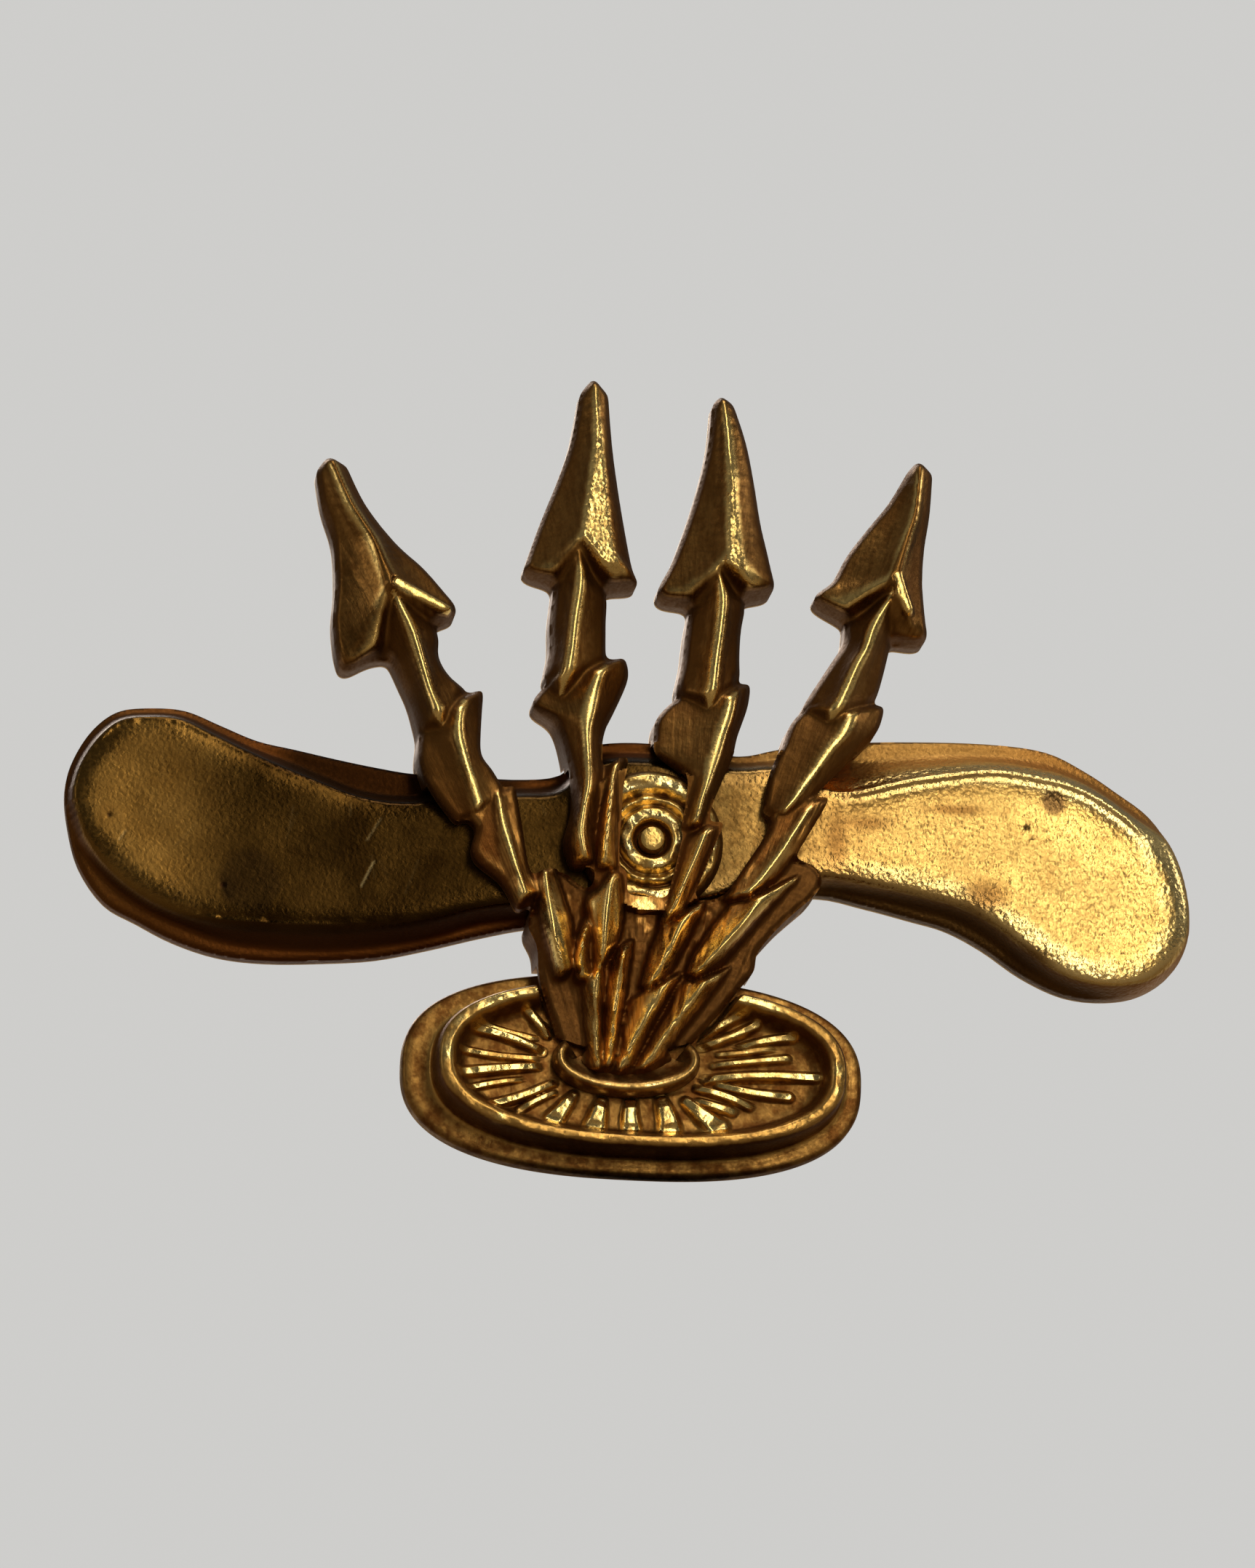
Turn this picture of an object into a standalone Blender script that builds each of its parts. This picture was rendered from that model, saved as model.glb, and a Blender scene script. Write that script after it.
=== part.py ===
"""Propeller and lightning insignia pin with a safety pin-back.

Worn upright: +X is the viewer's right, +Z is up, the front faces -Y and the flat back lies in
the plane Y = 0. The origin is the middle of the oval dish on that back plane. Run it with
blender --background --python part.py, or from the text editor. Blender units are metres.

The insignia is laid out on an enlarged pattern drawing, as a die sinker does it. The drawing is
an oblique view, seen a little from the left and from below so that it shows the walls, and
place() turns one of its points, at a height above the back, into the part's own X and Z.
"""

import math

import bmesh
import bpy
from mathutils import Matrix, Vector

MM = 0.001

# ---- driving dimensions, millimetres ------------------------------------------------------
WIDTH = 28.6  # over the propeller's tips
DRAWING_WIDTH = 1550.0  # the same, in drawing units
VIEW_LEFT = math.radians(7.0)  # the drawing's viewpoint: this far to the left
VIEW_BELOW = math.radians(14.0)  # and this far below
DRAWING_DATUM = (865.0, 1485.0)  # the dish's middle on the back plane; v runs down the sheet

FLANGE = 0.55  # height of the trimmed flange above the back
FACE = 1.42  # propeller faces
GAP = 0.03  # between neighbouring struck pieces, where solder runs
DISH_FLOOR = 1.15
DISH_BEAD = 1.90
RIB_HEIGHT = 0.24
RIBS = 24
COLLAR_TOP = 1.75
WEB = 1.45  # the ground between the bolts' feet

HUB_ON_DRAWING = (894.0, 1149.0)  # at the height of its rings
HUB_TOP = 1.95
HUB_RADIUS = 1.83
RIVET_HEAD_RADIUS = 0.33
RIVET_RADIUS = 0.28

# the pin-back, along a line from the left blade to the right one
HINGE_AT = (-9.77, 4.64)  # X, Z
CATCH_AT = (10.50, 6.55)
PIN_AXIS_DEPTH = 1.40  # the stem's axis behind the back plane
STEM_RADIUS = 0.35
STEM_BEYOND_CATCH = 2.1
BASE_THICKNESS = 0.40
EAR_THICKNESS = 0.45
EAR_GAP = 1.04
EAR_RADIUS = 0.85
EYE_RADIUS = 0.78
EYE_THICKNESS = 0.92
AXLE_RADIUS = 0.28
AXLE_HOLE = 0.32
CATCH_WIDTH = 1.0
CATCH_OUTER = 1.12
CATCH_INNER = 0.76
SLEEVE_OUTER = 0.71
SLEEVE_INNER = 0.45
SLEEVE_RIM = 0.94
SLEEVE_RIM_WIDTH = 0.30
SLOT_HALF = 0.44
TAB_REACH = 1.95

# ---- the drawing's mapping ----------------------------------------------------------------
UNIT = WIDTH * math.cos(VIEW_LEFT) / DRAWING_WIDTH
SA, CA = math.sin(VIEW_LEFT), math.cos(VIEW_LEFT)
SE, CE = math.sin(VIEW_BELOW), math.cos(VIEW_BELOW)


def place(u, v, h):
    """X, Z of the drawing's point (u, v) that lies h above the back."""
    x = ((u - DRAWING_DATUM[0]) * UNIT - h * SA) / CA
    z = ((DRAWING_DATUM[1] - v) * UNIT + x * SA * SE - h * CA * SE) / CE
    return x, z


def clear_scene():
    for obj in list(bpy.data.objects):
        bpy.data.objects.remove(obj, do_unlink=True)
    for mesh in list(bpy.data.meshes):
        bpy.data.meshes.remove(mesh)


def material(name, colour, roughness, metallic=1.0):
    mat = bpy.data.materials.new(name)
    mat.use_nodes = True
    shader = mat.node_tree.nodes["Principled BSDF"]
    shader.inputs["Base Color"].default_value = (*colour, 1.0)
    shader.inputs["Roughness"].default_value = roughness
    shader.inputs["Metallic"].default_value = metallic
    mat.diffuse_color = (*colour, 1.0)
    return mat


def make_object(name, bm, mat=None):
    bmesh.ops.recalc_face_normals(bm, faces=bm.faces)
    mesh = bpy.data.meshes.new(name)
    bm.to_mesh(mesh)
    bm.free()
    if mat is not None:
        mesh.materials.append(mat)
    obj = bpy.data.objects.new(name, mesh)
    bpy.context.scene.collection.objects.link(obj)
    return obj


def hide(obj):
    obj.hide_render = True
    obj.display_type = "WIRE"
    return obj


def boolean(obj, other, operation):
    modifier = obj.modifiers.new(operation.lower() + "_" + other.name, "BOOLEAN")
    modifier.operation = operation
    modifier.solver = "EXACT"
    modifier.object = other
    hide(other)
    return modifier


def smooth_loop(points, per_span):
    """A closed Catmull-Rom curve through the points."""
    out = []
    n = len(points)
    for i in range(n):
        p = [Vector(points[(i + k) % n]) for k in (-1, 0, 1, 2)]
        for s in range(per_span):
            t = s / per_span
            out.append(
                0.5
                * (
                    2 * p[1]
                    + (p[2] - p[0]) * t
                    + (2 * p[0] - 5 * p[1] + 4 * p[2] - p[3]) * t * t
                    + (3 * p[1] - p[0] - 3 * p[2] + p[3]) * t**3
                )
            )
    return out


def grow(loop, distance):
    """The closed loop of (x, z), moved outwards by the distance."""
    n = len(loop)
    area = sum(
        loop[i][0] * loop[(i + 1) % n][1] - loop[(i + 1) % n][0] * loop[i][1] for i in range(n)
    )
    side = 1.0 if area > 0 else -1.0
    out = []
    for i in range(n):
        before, after = loop[i - 1], loop[(i + 1) % n]
        along = Vector((after[0] - before[0], after[1] - before[1]))
        along.normalize()
        out.append((loop[i][0] + side * along.y * distance, loop[i][1] - side * along.x * distance))
    return out


def stack(name, loops, mat=None):
    """A closed solid through loops of (x, z, h), all of one count, capped at both ends."""
    bm = bmesh.new()
    rings = [[bm.verts.new((x * MM, -h * MM, z * MM)) for x, z, h in loop] for loop in loops]
    for low, high in zip(rings, rings[1:]):
        for i in range(len(low)):
            j = (i + 1) % len(low)
            bm.faces.new((low[i], low[j], high[j], high[i]))
    bm.faces.new(rings[0])
    bm.faces.new(list(reversed(rings[-1])))
    return make_object(name, bm, mat)


def prism(name, loop, bottom, top, mat=None):
    return stack(name, [[(x, z, bottom) for x, z in loop], [(x, z, top) for x, z in loop]], mat)


def turned(name, profile, steps, mat=None, closed=True):
    """The (radius, height) profile spun about local Z, which the caller then aims."""
    bm = bmesh.new()
    verts = [bm.verts.new((r * MM, 0.0, z * MM)) for r, z in profile]
    edges = [bm.edges.new((a, b)) for a, b in zip(verts, verts[1:])]
    if closed:
        edges.append(bm.edges.new((verts[-1], verts[0])))
    bmesh.ops.spin(
        bm,
        geom=verts + edges,
        axis=(0, 0, 1),
        cent=(0, 0, 0),
        angle=2 * math.pi,
        steps=steps,
        use_merge=True,
        use_duplicate=False,
    )
    bmesh.ops.remove_doubles(bm, verts=bm.verts, dist=1e-8)
    return make_object(name, bm, mat)


def box(name, low, high, mat=None):
    bm = bmesh.new()
    bmesh.ops.create_cube(bm, size=1.0)
    for vert in bm.verts:
        vert.co = Vector(
            [(low[i] + high[i]) / 2 * MM + vert.co[i] * (high[i] - low[i]) * MM for i in range(3)]
        )
    return make_object(name, bm, mat)


# ---- the propeller ------------------------------------------------------------------------
# Stations round the propeller, clockwise from the left tip: the flange's edge, the foot of the
# wall, and the edge of the raised face.
PROPELLER = [
    ((90, 1082), (98, 1086), (103, 1088)),
    ((101, 1043), (108, 1046), (114, 1050)),
    ((126, 1004), (132, 1008), (138, 1013)),
    ((160, 979), (164, 983), (168, 989)),
    ((205, 974), (206, 978), (208, 984)),
    ((252, 978), (251, 982), (250, 988)),
    ((300, 998), (297, 1003), (295, 1009)),
    ((350, 1019), (345, 1026), (342, 1032)),
    ((402, 1031), (394, 1044), (388, 1054)),
    ((462, 1045), (445, 1066), (440, 1074)),
    ((515, 1056), (495, 1085), (492, 1093)),
    ((564, 1064), (550, 1092), (550, 1102)),
    ((625, 1066), (612, 1088), (612, 1098)),
    ((700, 1072), (700, 1082), (700, 1092)),
    ((765, 1066), (765, 1076), (765, 1088)),
    ((800, 1030), (800, 1042), (802, 1054)),
    ((850, 1021), (850, 1032), (850, 1044)),
    ((930, 1026), (930, 1036), (930, 1048)),
    ((1010, 1040), (1010, 1047), (1010, 1056)),
    ((1070, 1030), (1075, 1042), (1080, 1054)),
    ((1150, 1022), (1152, 1050), (1154, 1083)),
    ((1250, 1020), (1250, 1038), (1250, 1065)),
    ((1357, 1023), (1357, 1036), (1357, 1053)),
    ((1437, 1034), (1434, 1046), (1430, 1062)),
    ((1491, 1060), (1487, 1066), (1483, 1076)),
    ((1536, 1090), (1532, 1094), (1527, 1100)),
    ((1582, 1125), (1577, 1129), (1570, 1135)),
    ((1616, 1174), (1611, 1177), (1603, 1181)),
    ((1633, 1230), (1628, 1231), (1620, 1233)),
    ((1635, 1287), (1630, 1286), (1620, 1281)),
    ((1613, 1336), (1608, 1331), (1599, 1320)),
    ((1570, 1366), (1567, 1359), (1562, 1345)),
    ((1519, 1375), (1518, 1367), (1519, 1351)),
    ((1461, 1368), (1465, 1358), (1471, 1340)),
    ((1403, 1341), (1411, 1329), (1420, 1311)),
    ((1350, 1304), (1361, 1291), (1372, 1271)),
    ((1300, 1277), (1309, 1261), (1318, 1242)),
    ((1249, 1262), (1254, 1246), (1260, 1226)),
    ((1186, 1245), (1189, 1229), (1194, 1213)),
    ((1120, 1231), (1122, 1217), (1124, 1205)),
    ((1040, 1240), (1040, 1228), (1040, 1218)),
    ((940, 1262), (940, 1250), (940, 1238)),
    ((830, 1268), (830, 1254), (830, 1240)),
    ((730, 1272), (730, 1258), (728, 1236)),
    ((660, 1284), (658, 1266), (656, 1242)),
    ((590, 1300), (588, 1286), (586, 1256)),
    ((515, 1314), (512, 1298), (512, 1262)),
    ((440, 1318), (440, 1302), (440, 1264)),
    ((365, 1318), (365, 1298), (365, 1260)),
    ((300, 1310), (304, 1288), (308, 1256)),
    ((240, 1290), (244, 1264), (250, 1246)),
    ((190, 1264), (190, 1236), (200, 1222)),
    ((145, 1238), (148, 1202), (158, 1188)),
    ((110, 1188), (118, 1160), (126, 1152)),
    ((94, 1130), (103, 1120), (110, 1118)),
]


def build_propeller(mat, hub_x, hub_z):
    outline = smooth_loop([place(u, v, FLANGE / 2) for (u, v), _, _ in PROPELLER], 2)
    foot = smooth_loop([place(u, v, FLANGE) for _, (u, v), _ in PROPELLER], 2)
    face = smooth_loop([place(u, v, FACE - 0.06) for _, _, (u, v) in PROPELLER], 2)
    inside = grow(face, -0.12)
    edge = grow(outline, -0.02)
    propeller = stack(
        "propeller",
        [
            [(x, z, 0.0) for x, z in outline],
            [(x, z, FLANGE - 0.06) for x, z in outline],
            [(x, z, FLANGE) for x, z in edge],
            [(x, z, FLANGE + 0.01) for x, z in foot],
            [(x, z, FACE - 0.10) for x, z in face],
            [(x, z, FACE) for x, z in inside],
        ],
        mat,
    )
    hole = turned(
        "rivet_hole",
        [(0.0, -1.0), (RIVET_RADIUS + GAP, -1.0), (RIVET_RADIUS + GAP, 3.0), (0.0, 3.0)],
        24,
    )
    aim_forward(hole, hub_x, hub_z)
    boolean(propeller, hole, "DIFFERENCE")
    return propeller, outline, foot


def aim_forward(obj, x, z):
    """Turns the object's local Z to -Y, out of the front, and moves it to X, Z."""
    obj.data.transform(Matrix.Rotation(math.radians(90.0), 4, "X"))
    obj.location = (x * MM, 0.0, z * MM)


# ---- the hub ------------------------------------------------------------------------------
def build_hub(mat_hub, mat_rivet, x, z):
    low = FACE + GAP
    hole = RIVET_HEAD_RADIUS + GAP
    boss = turned(
        "hub_boss",
        [
            (hole, low),
            (HUB_RADIUS, low),
            (HUB_RADIUS, low + 0.12),
            (1.66, HUB_TOP - 0.10),
            (1.36, HUB_TOP - 0.10),
            (1.22, HUB_TOP - 0.28),
            (1.05, HUB_TOP - 0.04),
            (0.85, HUB_TOP - 0.26),
            (0.70, HUB_TOP - 0.02),
            (0.55, HUB_TOP),
            (0.46, HUB_TOP - 0.18),
            (hole, HUB_TOP - 0.30),
        ],
        40,
        mat_hub,
    )
    aim_forward(boss, x, z)
    rivet = turned(
        "hub_rivet",
        [
            (0.0, 0.0),
            (RIVET_RADIUS, 0.0),
            (RIVET_RADIUS, low + 0.02),
            (RIVET_HEAD_RADIUS, low + 0.04),
            (RIVET_HEAD_RADIUS, HUB_TOP - 0.12),
            (0.24, HUB_TOP - 0.02),
            (0.0, HUB_TOP + 0.01),
        ],
        24,
        mat_rivet,
        closed=False,
    )
    aim_forward(rivet, x, z)
    return boss, rivet


# ---- the four bolts -----------------------------------------------------------------------
# Each bolt is a chain of tapered ridged bars, and each bar is a list of stations across it:
# the left edge, the ridge and the right edge. The first bar of each is the barbed head.
BOLTS = [
    [
        [
            ((431, 641), (449, 617), (470, 634)),
            ((440, 690), (480, 684), (497, 688)),
            ((456, 740), (511, 733), (539, 741)),
            ((460, 800), (525, 770), (577, 775)),
            ((457, 850), (531, 784), (606, 808)),
            ((464, 900), (533, 792), (622, 828)),
            ((477, 914), (535, 797), (620, 842)),
            ((519, 889), (537, 803), (595, 850)),
        ],
        [
            ((520, 884), (546, 818), (572, 836)),
            ((535, 900), (561, 852), (597, 866)),
            ((551, 932), (575, 892), (599, 898)),
            ((566, 964), (589, 945), (614, 924)),
            ((577, 998), (602, 976), (636, 942)),
        ],
        [
            ((580, 985), (636, 966), (661, 943)),
            ((577, 1010), (631, 1000), (658, 996)),
            ((577, 1040), (641, 1040), (659, 1032)),
            ((592, 1078), (652, 1075), (674, 1054)),
            ((628, 1126), (659, 1106), (690, 1082)),
        ],
        [
            ((668, 1112), (682, 1085), (704, 1074)),
            ((654, 1142), (690, 1122), (711, 1112)),
            ((652, 1174), (702, 1160), (717, 1150)),
            ((690, 1206), (712, 1194), (724, 1188)),
            ((712, 1244), (722, 1226), (738, 1222)),
        ],
        [
            ((738, 1196), (746, 1186), (762, 1190)),
            ((738, 1226), (750, 1226), (776, 1234)),
            ((743, 1262), (757, 1262), (786, 1262)),
            ((752, 1300), (764, 1296), (788, 1292)),
            ((762, 1336), (773, 1330), (788, 1326)),
        ],
        [
            ((788, 1290), (804, 1268), (812, 1268)),
            ((786, 1312), (796, 1302), (812, 1308)),
            ((790, 1342), (798, 1336), (812, 1340)),
        ],
        [
            ((796, 1338), (820, 1333), (832, 1328)),
            ((800, 1380), (818, 1380), (827, 1380)),
            ((804, 1430), (819, 1430), (827, 1436)),
            ((808, 1466), (821, 1462), (828, 1460)),
        ],
    ],
    [
        [
            ((796, 530), (814, 507), (832, 532)),
            ((784, 596), (815, 592), (837, 600)),
            ((766, 650), (809, 645), (845, 662)),
            ((744, 705), (803, 690), (856, 728)),
            ((724, 762), (799, 718), (866, 778)),
            ((721, 780), (797, 732), (873, 799)),
            ((759, 790), (797, 737), (832, 802)),
        ],
        [
            ((764, 782), (792, 742), (812, 772)),
            ((760, 806), (796, 785), (829, 812)),
            ((755, 850), (787, 845), (829, 850)),
            ((755, 890), (781, 888), (829, 882)),
            ((746, 930), (775, 926), (829, 896)),
        ],
        [
            ((776, 922), (826, 916), (856, 900)),
            ((744, 944), (815, 944), (860, 926)),
            ((732, 966), (811, 972), (846, 962)),
            ((762, 988), (806, 1000), (830, 994)),
            ((778, 1030), (807, 1034), (824, 1024)),
            ((786, 1078), (807, 1070), (826, 1072)),
            ((786, 1112), (799, 1106), (820, 1112)),
            ((777, 1150), (796, 1138), (815, 1144)),
            ((788, 1184), (804, 1174), (814, 1184)),
        ],
        [
            ((828, 1056), (848, 1034), (862, 1036)),
            ((827, 1078), (839, 1066), (852, 1074)),
            ((822, 1112), (834, 1108), (850, 1112)),
            ((818, 1150), (830, 1146), (848, 1150)),
            ((816, 1190), (827, 1182), (846, 1188)),
        ],
        [
            ((804, 1236), (838, 1204), (857, 1190)),
            ((806, 1258), (832, 1242), (857, 1230)),
            ((810, 1298), (828, 1290), (850, 1280)),
            ((815, 1332), (823, 1326), (838, 1304)),
        ],
        [
            ((832, 1322), (854, 1306), (868, 1288)),
            ((829, 1362), (849, 1350), (861, 1336)),
            ((828, 1410), (841, 1404), (852, 1398)),
            ((828, 1462), (834, 1458), (842, 1454)),
        ],
    ],
    [
        [
            ((980, 546), (992, 530), (1007, 545)),
            ((975, 600), (999, 596), (1024, 598)),
            ((964, 650), (1002, 648), (1035, 655)),
            ((947, 706), (1000, 702), (1044, 712)),
            ((925, 765), (999, 750), (1057, 770)),
            ((904, 812), (996, 764), (1061, 806)),
            ((948, 820), (995, 769), (1023, 815)),
        ],
        [
            ((958, 806), (988, 778), (1006, 803)),
            ((948, 838), (993, 812), (1021, 826)),
            ((942, 872), (990, 858), (1016, 862)),
            ((938, 906), (983, 902), (1014, 900)),
            ((929, 944), (977, 952), (1015, 926)),
        ],
        [
            ((922, 962), (1009, 952), (1029, 935)),
            ((902, 984), (1003, 980), (1025, 966)),
            ((899, 1008), (994, 1006), (1010, 1008)),
            ((900, 1032), (984, 1035), (1004, 1034)),
            ((940, 1062), (971, 1070), (991, 1064)),
            ((941, 1100), (960, 1100), (976, 1098)),
            ((934, 1138), (955, 1126), (962, 1128)),
        ],
        [
            ((936, 1150), (968, 1138), (992, 1126)),
            ((926, 1192), (949, 1182), (974, 1166)),
            ((914, 1236), (928, 1226), (954, 1214)),
            ((904, 1268), (914, 1256), (936, 1246)),
        ],
        [
            ((903, 1272), (940, 1254), (966, 1236)),
            ((890, 1306), (917, 1300), (946, 1278)),
            ((878, 1350), (892, 1346), (918, 1330)),
        ],
        [
            ((862, 1368), (912, 1346), (936, 1332)),
            ((852, 1402), (893, 1382), (914, 1370)),
            ((845, 1440), (868, 1424), (888, 1416)),
            ((840, 1466), (852, 1462), (866, 1460)),
        ],
    ],
    [
        [
            ((1252, 640), (1269, 619), (1285, 641)),
            ((1226, 683), (1262, 694), (1280, 700)),
            ((1198, 717), (1251, 730), (1272, 748)),
            ((1167, 757), (1241, 760), (1269, 795)),
            ((1147, 793), (1234, 780), (1272, 838)),
            ((1121, 816), (1231, 790), (1272, 876)),
            ((1160, 838), (1229, 796), (1227, 873)),
        ],
        [
            ((1190, 838), (1222, 812), (1236, 852)),
            ((1166, 852), (1200, 858), (1226, 876)),
            ((1162, 878), (1190, 886), (1221, 892)),
            ((1144, 906), (1176, 910), (1215, 916)),
            ((1120, 942), (1160, 946), (1207, 944)),
            ((1104, 966), (1148, 972), (1202, 956)),
        ],
        [
            ((1108, 970), (1170, 978), (1215, 966)),
            ((1088, 990), (1157, 1006), (1205, 998)),
            ((1075, 1022), (1138, 1028), (1180, 1026)),
            ((1062, 1048), (1114, 1062), (1148, 1056)),
            ((1052, 1082), (1094, 1090), (1124, 1080)),
            ((1046, 1116), (1076, 1112), (1112, 1092)),
        ],
        [
            ((1062, 1122), (1110, 1108), (1138, 1091)),
            ((1046, 1152), (1084, 1148), (1112, 1134)),
            ((1020, 1190), (1058, 1186), (1088, 1172)),
            ((992, 1232), (1026, 1224), (1062, 1204)),
        ],
        [
            ((998, 1240), (1046, 1226), (1096, 1200)),
            ((976, 1268), (1018, 1264), (1058, 1240)),
            ((955, 1298), (986, 1300), (1020, 1284)),
            ((938, 1334), (956, 1330), (992, 1316)),
        ],
        [
            ((930, 1346), (968, 1342), (1001, 1324)),
            ((910, 1386), (938, 1382), (968, 1370)),
            ((886, 1430), (908, 1420), (934, 1412)),
            ((866, 1466), (884, 1458), (906, 1452)),
        ],
    ],
]

# The ground between the bolts' lower halves, out to the trimmed edges.
WEB_OUTLINE = [
    (725, 1262),
    (737, 1296),
    (740, 1332),
    (748, 1366),
    (760, 1400),
    (772, 1432),
    (800, 1462),
    (845, 1473),
    (890, 1469),
    (930, 1444),
    (956, 1416),
    (986, 1384),
    (1014, 1350),
    (1031, 1330),
    (1035, 1306),
    (1070, 1266),
    (1122, 1218),
    (1104, 1186),
    (1040, 1190),
    (1010, 1222),
    (956, 1240),
    (856, 1236),
    (800, 1222),
    (760, 1200),
]

# Heights of ridges and edges down the fan: (v, ridge, edge).
HEIGHTS = [
    (520, 1.10, 0.85),
    (640, 1.45, 0.90),
    (800, 1.85, 1.05),
    (950, 1.90, 1.10),
    (1030, 2.20, 1.60),
    (1080, 2.50, 1.95),
    (1150, 2.70, 2.15),
    (1240, 2.65, 2.10),
    (1320, 2.40, 1.85),
    (1400, 2.10, 1.65),
    (1470, 1.80, 1.50),
]


def height_at(v, column):
    for (v0, *low), (v1, *high) in zip(HEIGHTS, HEIGHTS[1:]):
        if v <= v1:
            t = max(0.0, (v - v0) / (v1 - v0))
            return low[column] + (high[column] - low[column]) * t
    return HEIGHTS[-1][1 + column]


def bar(name, stations, back):
    """A closed bar whose top is a roof along the stations."""
    bm = bmesh.new()
    rings = []
    for k, (left, ridge, right) in enumerate(stations):
        along = k / (len(stations) - 1)
        step = 0.16 * along - 0.08  # each bar ends a little prouder than the next begins
        ring = []
        for (u, v), column in ((left, 1), (ridge, 0), (right, 1)):
            h = height_at(v, column) + step
            x, z = place(u, v, h)
            ring.append((x, z, h))
        ring = [(ring[0][0], ring[0][1], back), *ring, (ring[2][0], ring[2][1], back)]
        rings.append([bm.verts.new((x * MM, -h * MM, z * MM)) for x, z, h in ring])
    for a, b in zip(rings, rings[1:]):
        for i in range(5):
            j = (i + 1) % 5
            bm.faces.new((a[i], a[j], b[j], b[i]))
    bm.faces.new(rings[0])
    bm.faces.new(list(reversed(rings[-1])))
    bmesh.ops.triangulate(bm, faces=bm.faces)
    return make_object(name, bm)


def narrowed(station, keep):
    """The station's three points drawn in towards the middle of its width."""
    left, _, right = station
    mid = ((left[0] + right[0]) / 2, (left[1] + right[1]) / 2)
    return [
        (mid[0] + (p[0] - mid[0]) * keep, mid[1] + (p[1] - mid[1]) * keep)
        for p in (left, mid, right)
    ]


def link(name, upper, lower, back):
    """The low ground that joins one bar's station to the next bar's at a jog."""
    bm = bmesh.new()
    rings = []
    for station in (narrowed(upper, 0.6), narrowed(lower, 0.6)):
        ring = []
        for u, v in station:
            h = height_at(v, 1) - 0.05
            x, z = place(u, v, h)
            ring.append((x, z, h))
        ring = [(ring[0][0], ring[0][1], back), *ring, (ring[2][0], ring[2][1], back)]
        rings.append([bm.verts.new((x * MM, -h * MM, z * MM)) for x, z, h in ring])
    for i in range(5):
        j = (i + 1) % 5
        bm.faces.new((rings[0][i], rings[0][j], rings[1][j], rings[1][i]))
    bm.faces.new(rings[0])
    bm.faces.new(list(reversed(rings[1])))
    bmesh.ops.triangulate(bm, faces=bm.faces)
    return make_object(name, bm)


def build_spray(mat, outline, foot, dish_outline, hub_x, hub_z):
    back = -0.4
    web = [place(u, v, WEB) for u, v in WEB_OUTLINE]
    spray = prism("lightning_spray", web, back, WEB, mat)
    bars = bpy.data.collections.new("bars")
    bpy.context.scene.collection.children.link(bars)
    bars.hide_render = True
    for b, bolt in enumerate(BOLTS):
        for s, stations in enumerate(bolt):
            pieces = [bar(f"bar_{b + 1}_{s + 1}", stations, back)]
            if s:
                upper = bolt[s - 1]
                pieces.append(link(f"link_{b + 1}_{s + 1}a", upper[-2], stations[1], back))
                pieces.append(link(f"link_{b + 1}_{s + 1}b", upper[-1], stations[0], back))
            for piece in pieces:
                hide(piece)
                bpy.context.scene.collection.objects.unlink(piece)
                bars.objects.link(piece)
    union = spray.modifiers.new("bars", "BOOLEAN")
    union.operation = "UNION"
    union.solver = "EXACT"
    union.operand_type = "COLLECTION"
    union.collection = bars
    cuts = [
        box("behind", (-20, 0.0, -8), (20, 2, 24)),
        prism("flange_saddle", grow(outline, GAP), -1.0, FLANGE + 0.01 + GAP),
        prism("face_saddle", grow(foot, GAP), -1.0, FACE + GAP),
        prism("dish_saddle", grow(dish_outline, GAP), -1.0, DISH_FLOOR + GAP),
    ]
    hub = turned(
        "hub_saddle",
        [
            (0.0, 0.5),
            (HUB_RADIUS + GAP, 0.5),
            (HUB_RADIUS + GAP, HUB_TOP + 0.01 + GAP),
            (0.0, HUB_TOP + 0.01 + GAP),
        ],
        40,
    )
    aim_forward(hub, hub_x, hub_z)
    for cut in [*cuts, hub, build_collar("collar_saddle", clearance=GAP + 0.02)]:
        boolean(spray, cut, "DIFFERENCE")
    return spray


# ---- the dish -----------------------------------------------------------------------------
def oval(a, b, tilt, count, centre=(0.0, 0.0), power=2.0):
    """An ellipse, or with a power over 2 an oval with fuller corners."""
    c, s = math.cos(tilt), math.sin(tilt)
    out = []
    for i in range(count):
        t = 2 * math.pi * i / count
        t += RIB_SPREAD * math.sin(2 * t)  # the ribs stand closer at the front than at the ends
        x = a * math.copysign(abs(math.cos(t)) ** (2 / power), math.cos(t))
        z = b * math.copysign(abs(math.sin(t)) ** (2 / power), math.sin(t))
        out.append((centre[0] + x * c - z * s, centre[1] + x * s + z * c))
    return out


DISH_TILT = math.radians(-1.5)
DISH_POWER = 2.55
DISH_CENTRE = (-0.04, 0.09)
BEAD_CENTRE = (0.08, 0.12)  # the bead stands a little to the right on its flange
RIB_SPREAD = 0.12


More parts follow.
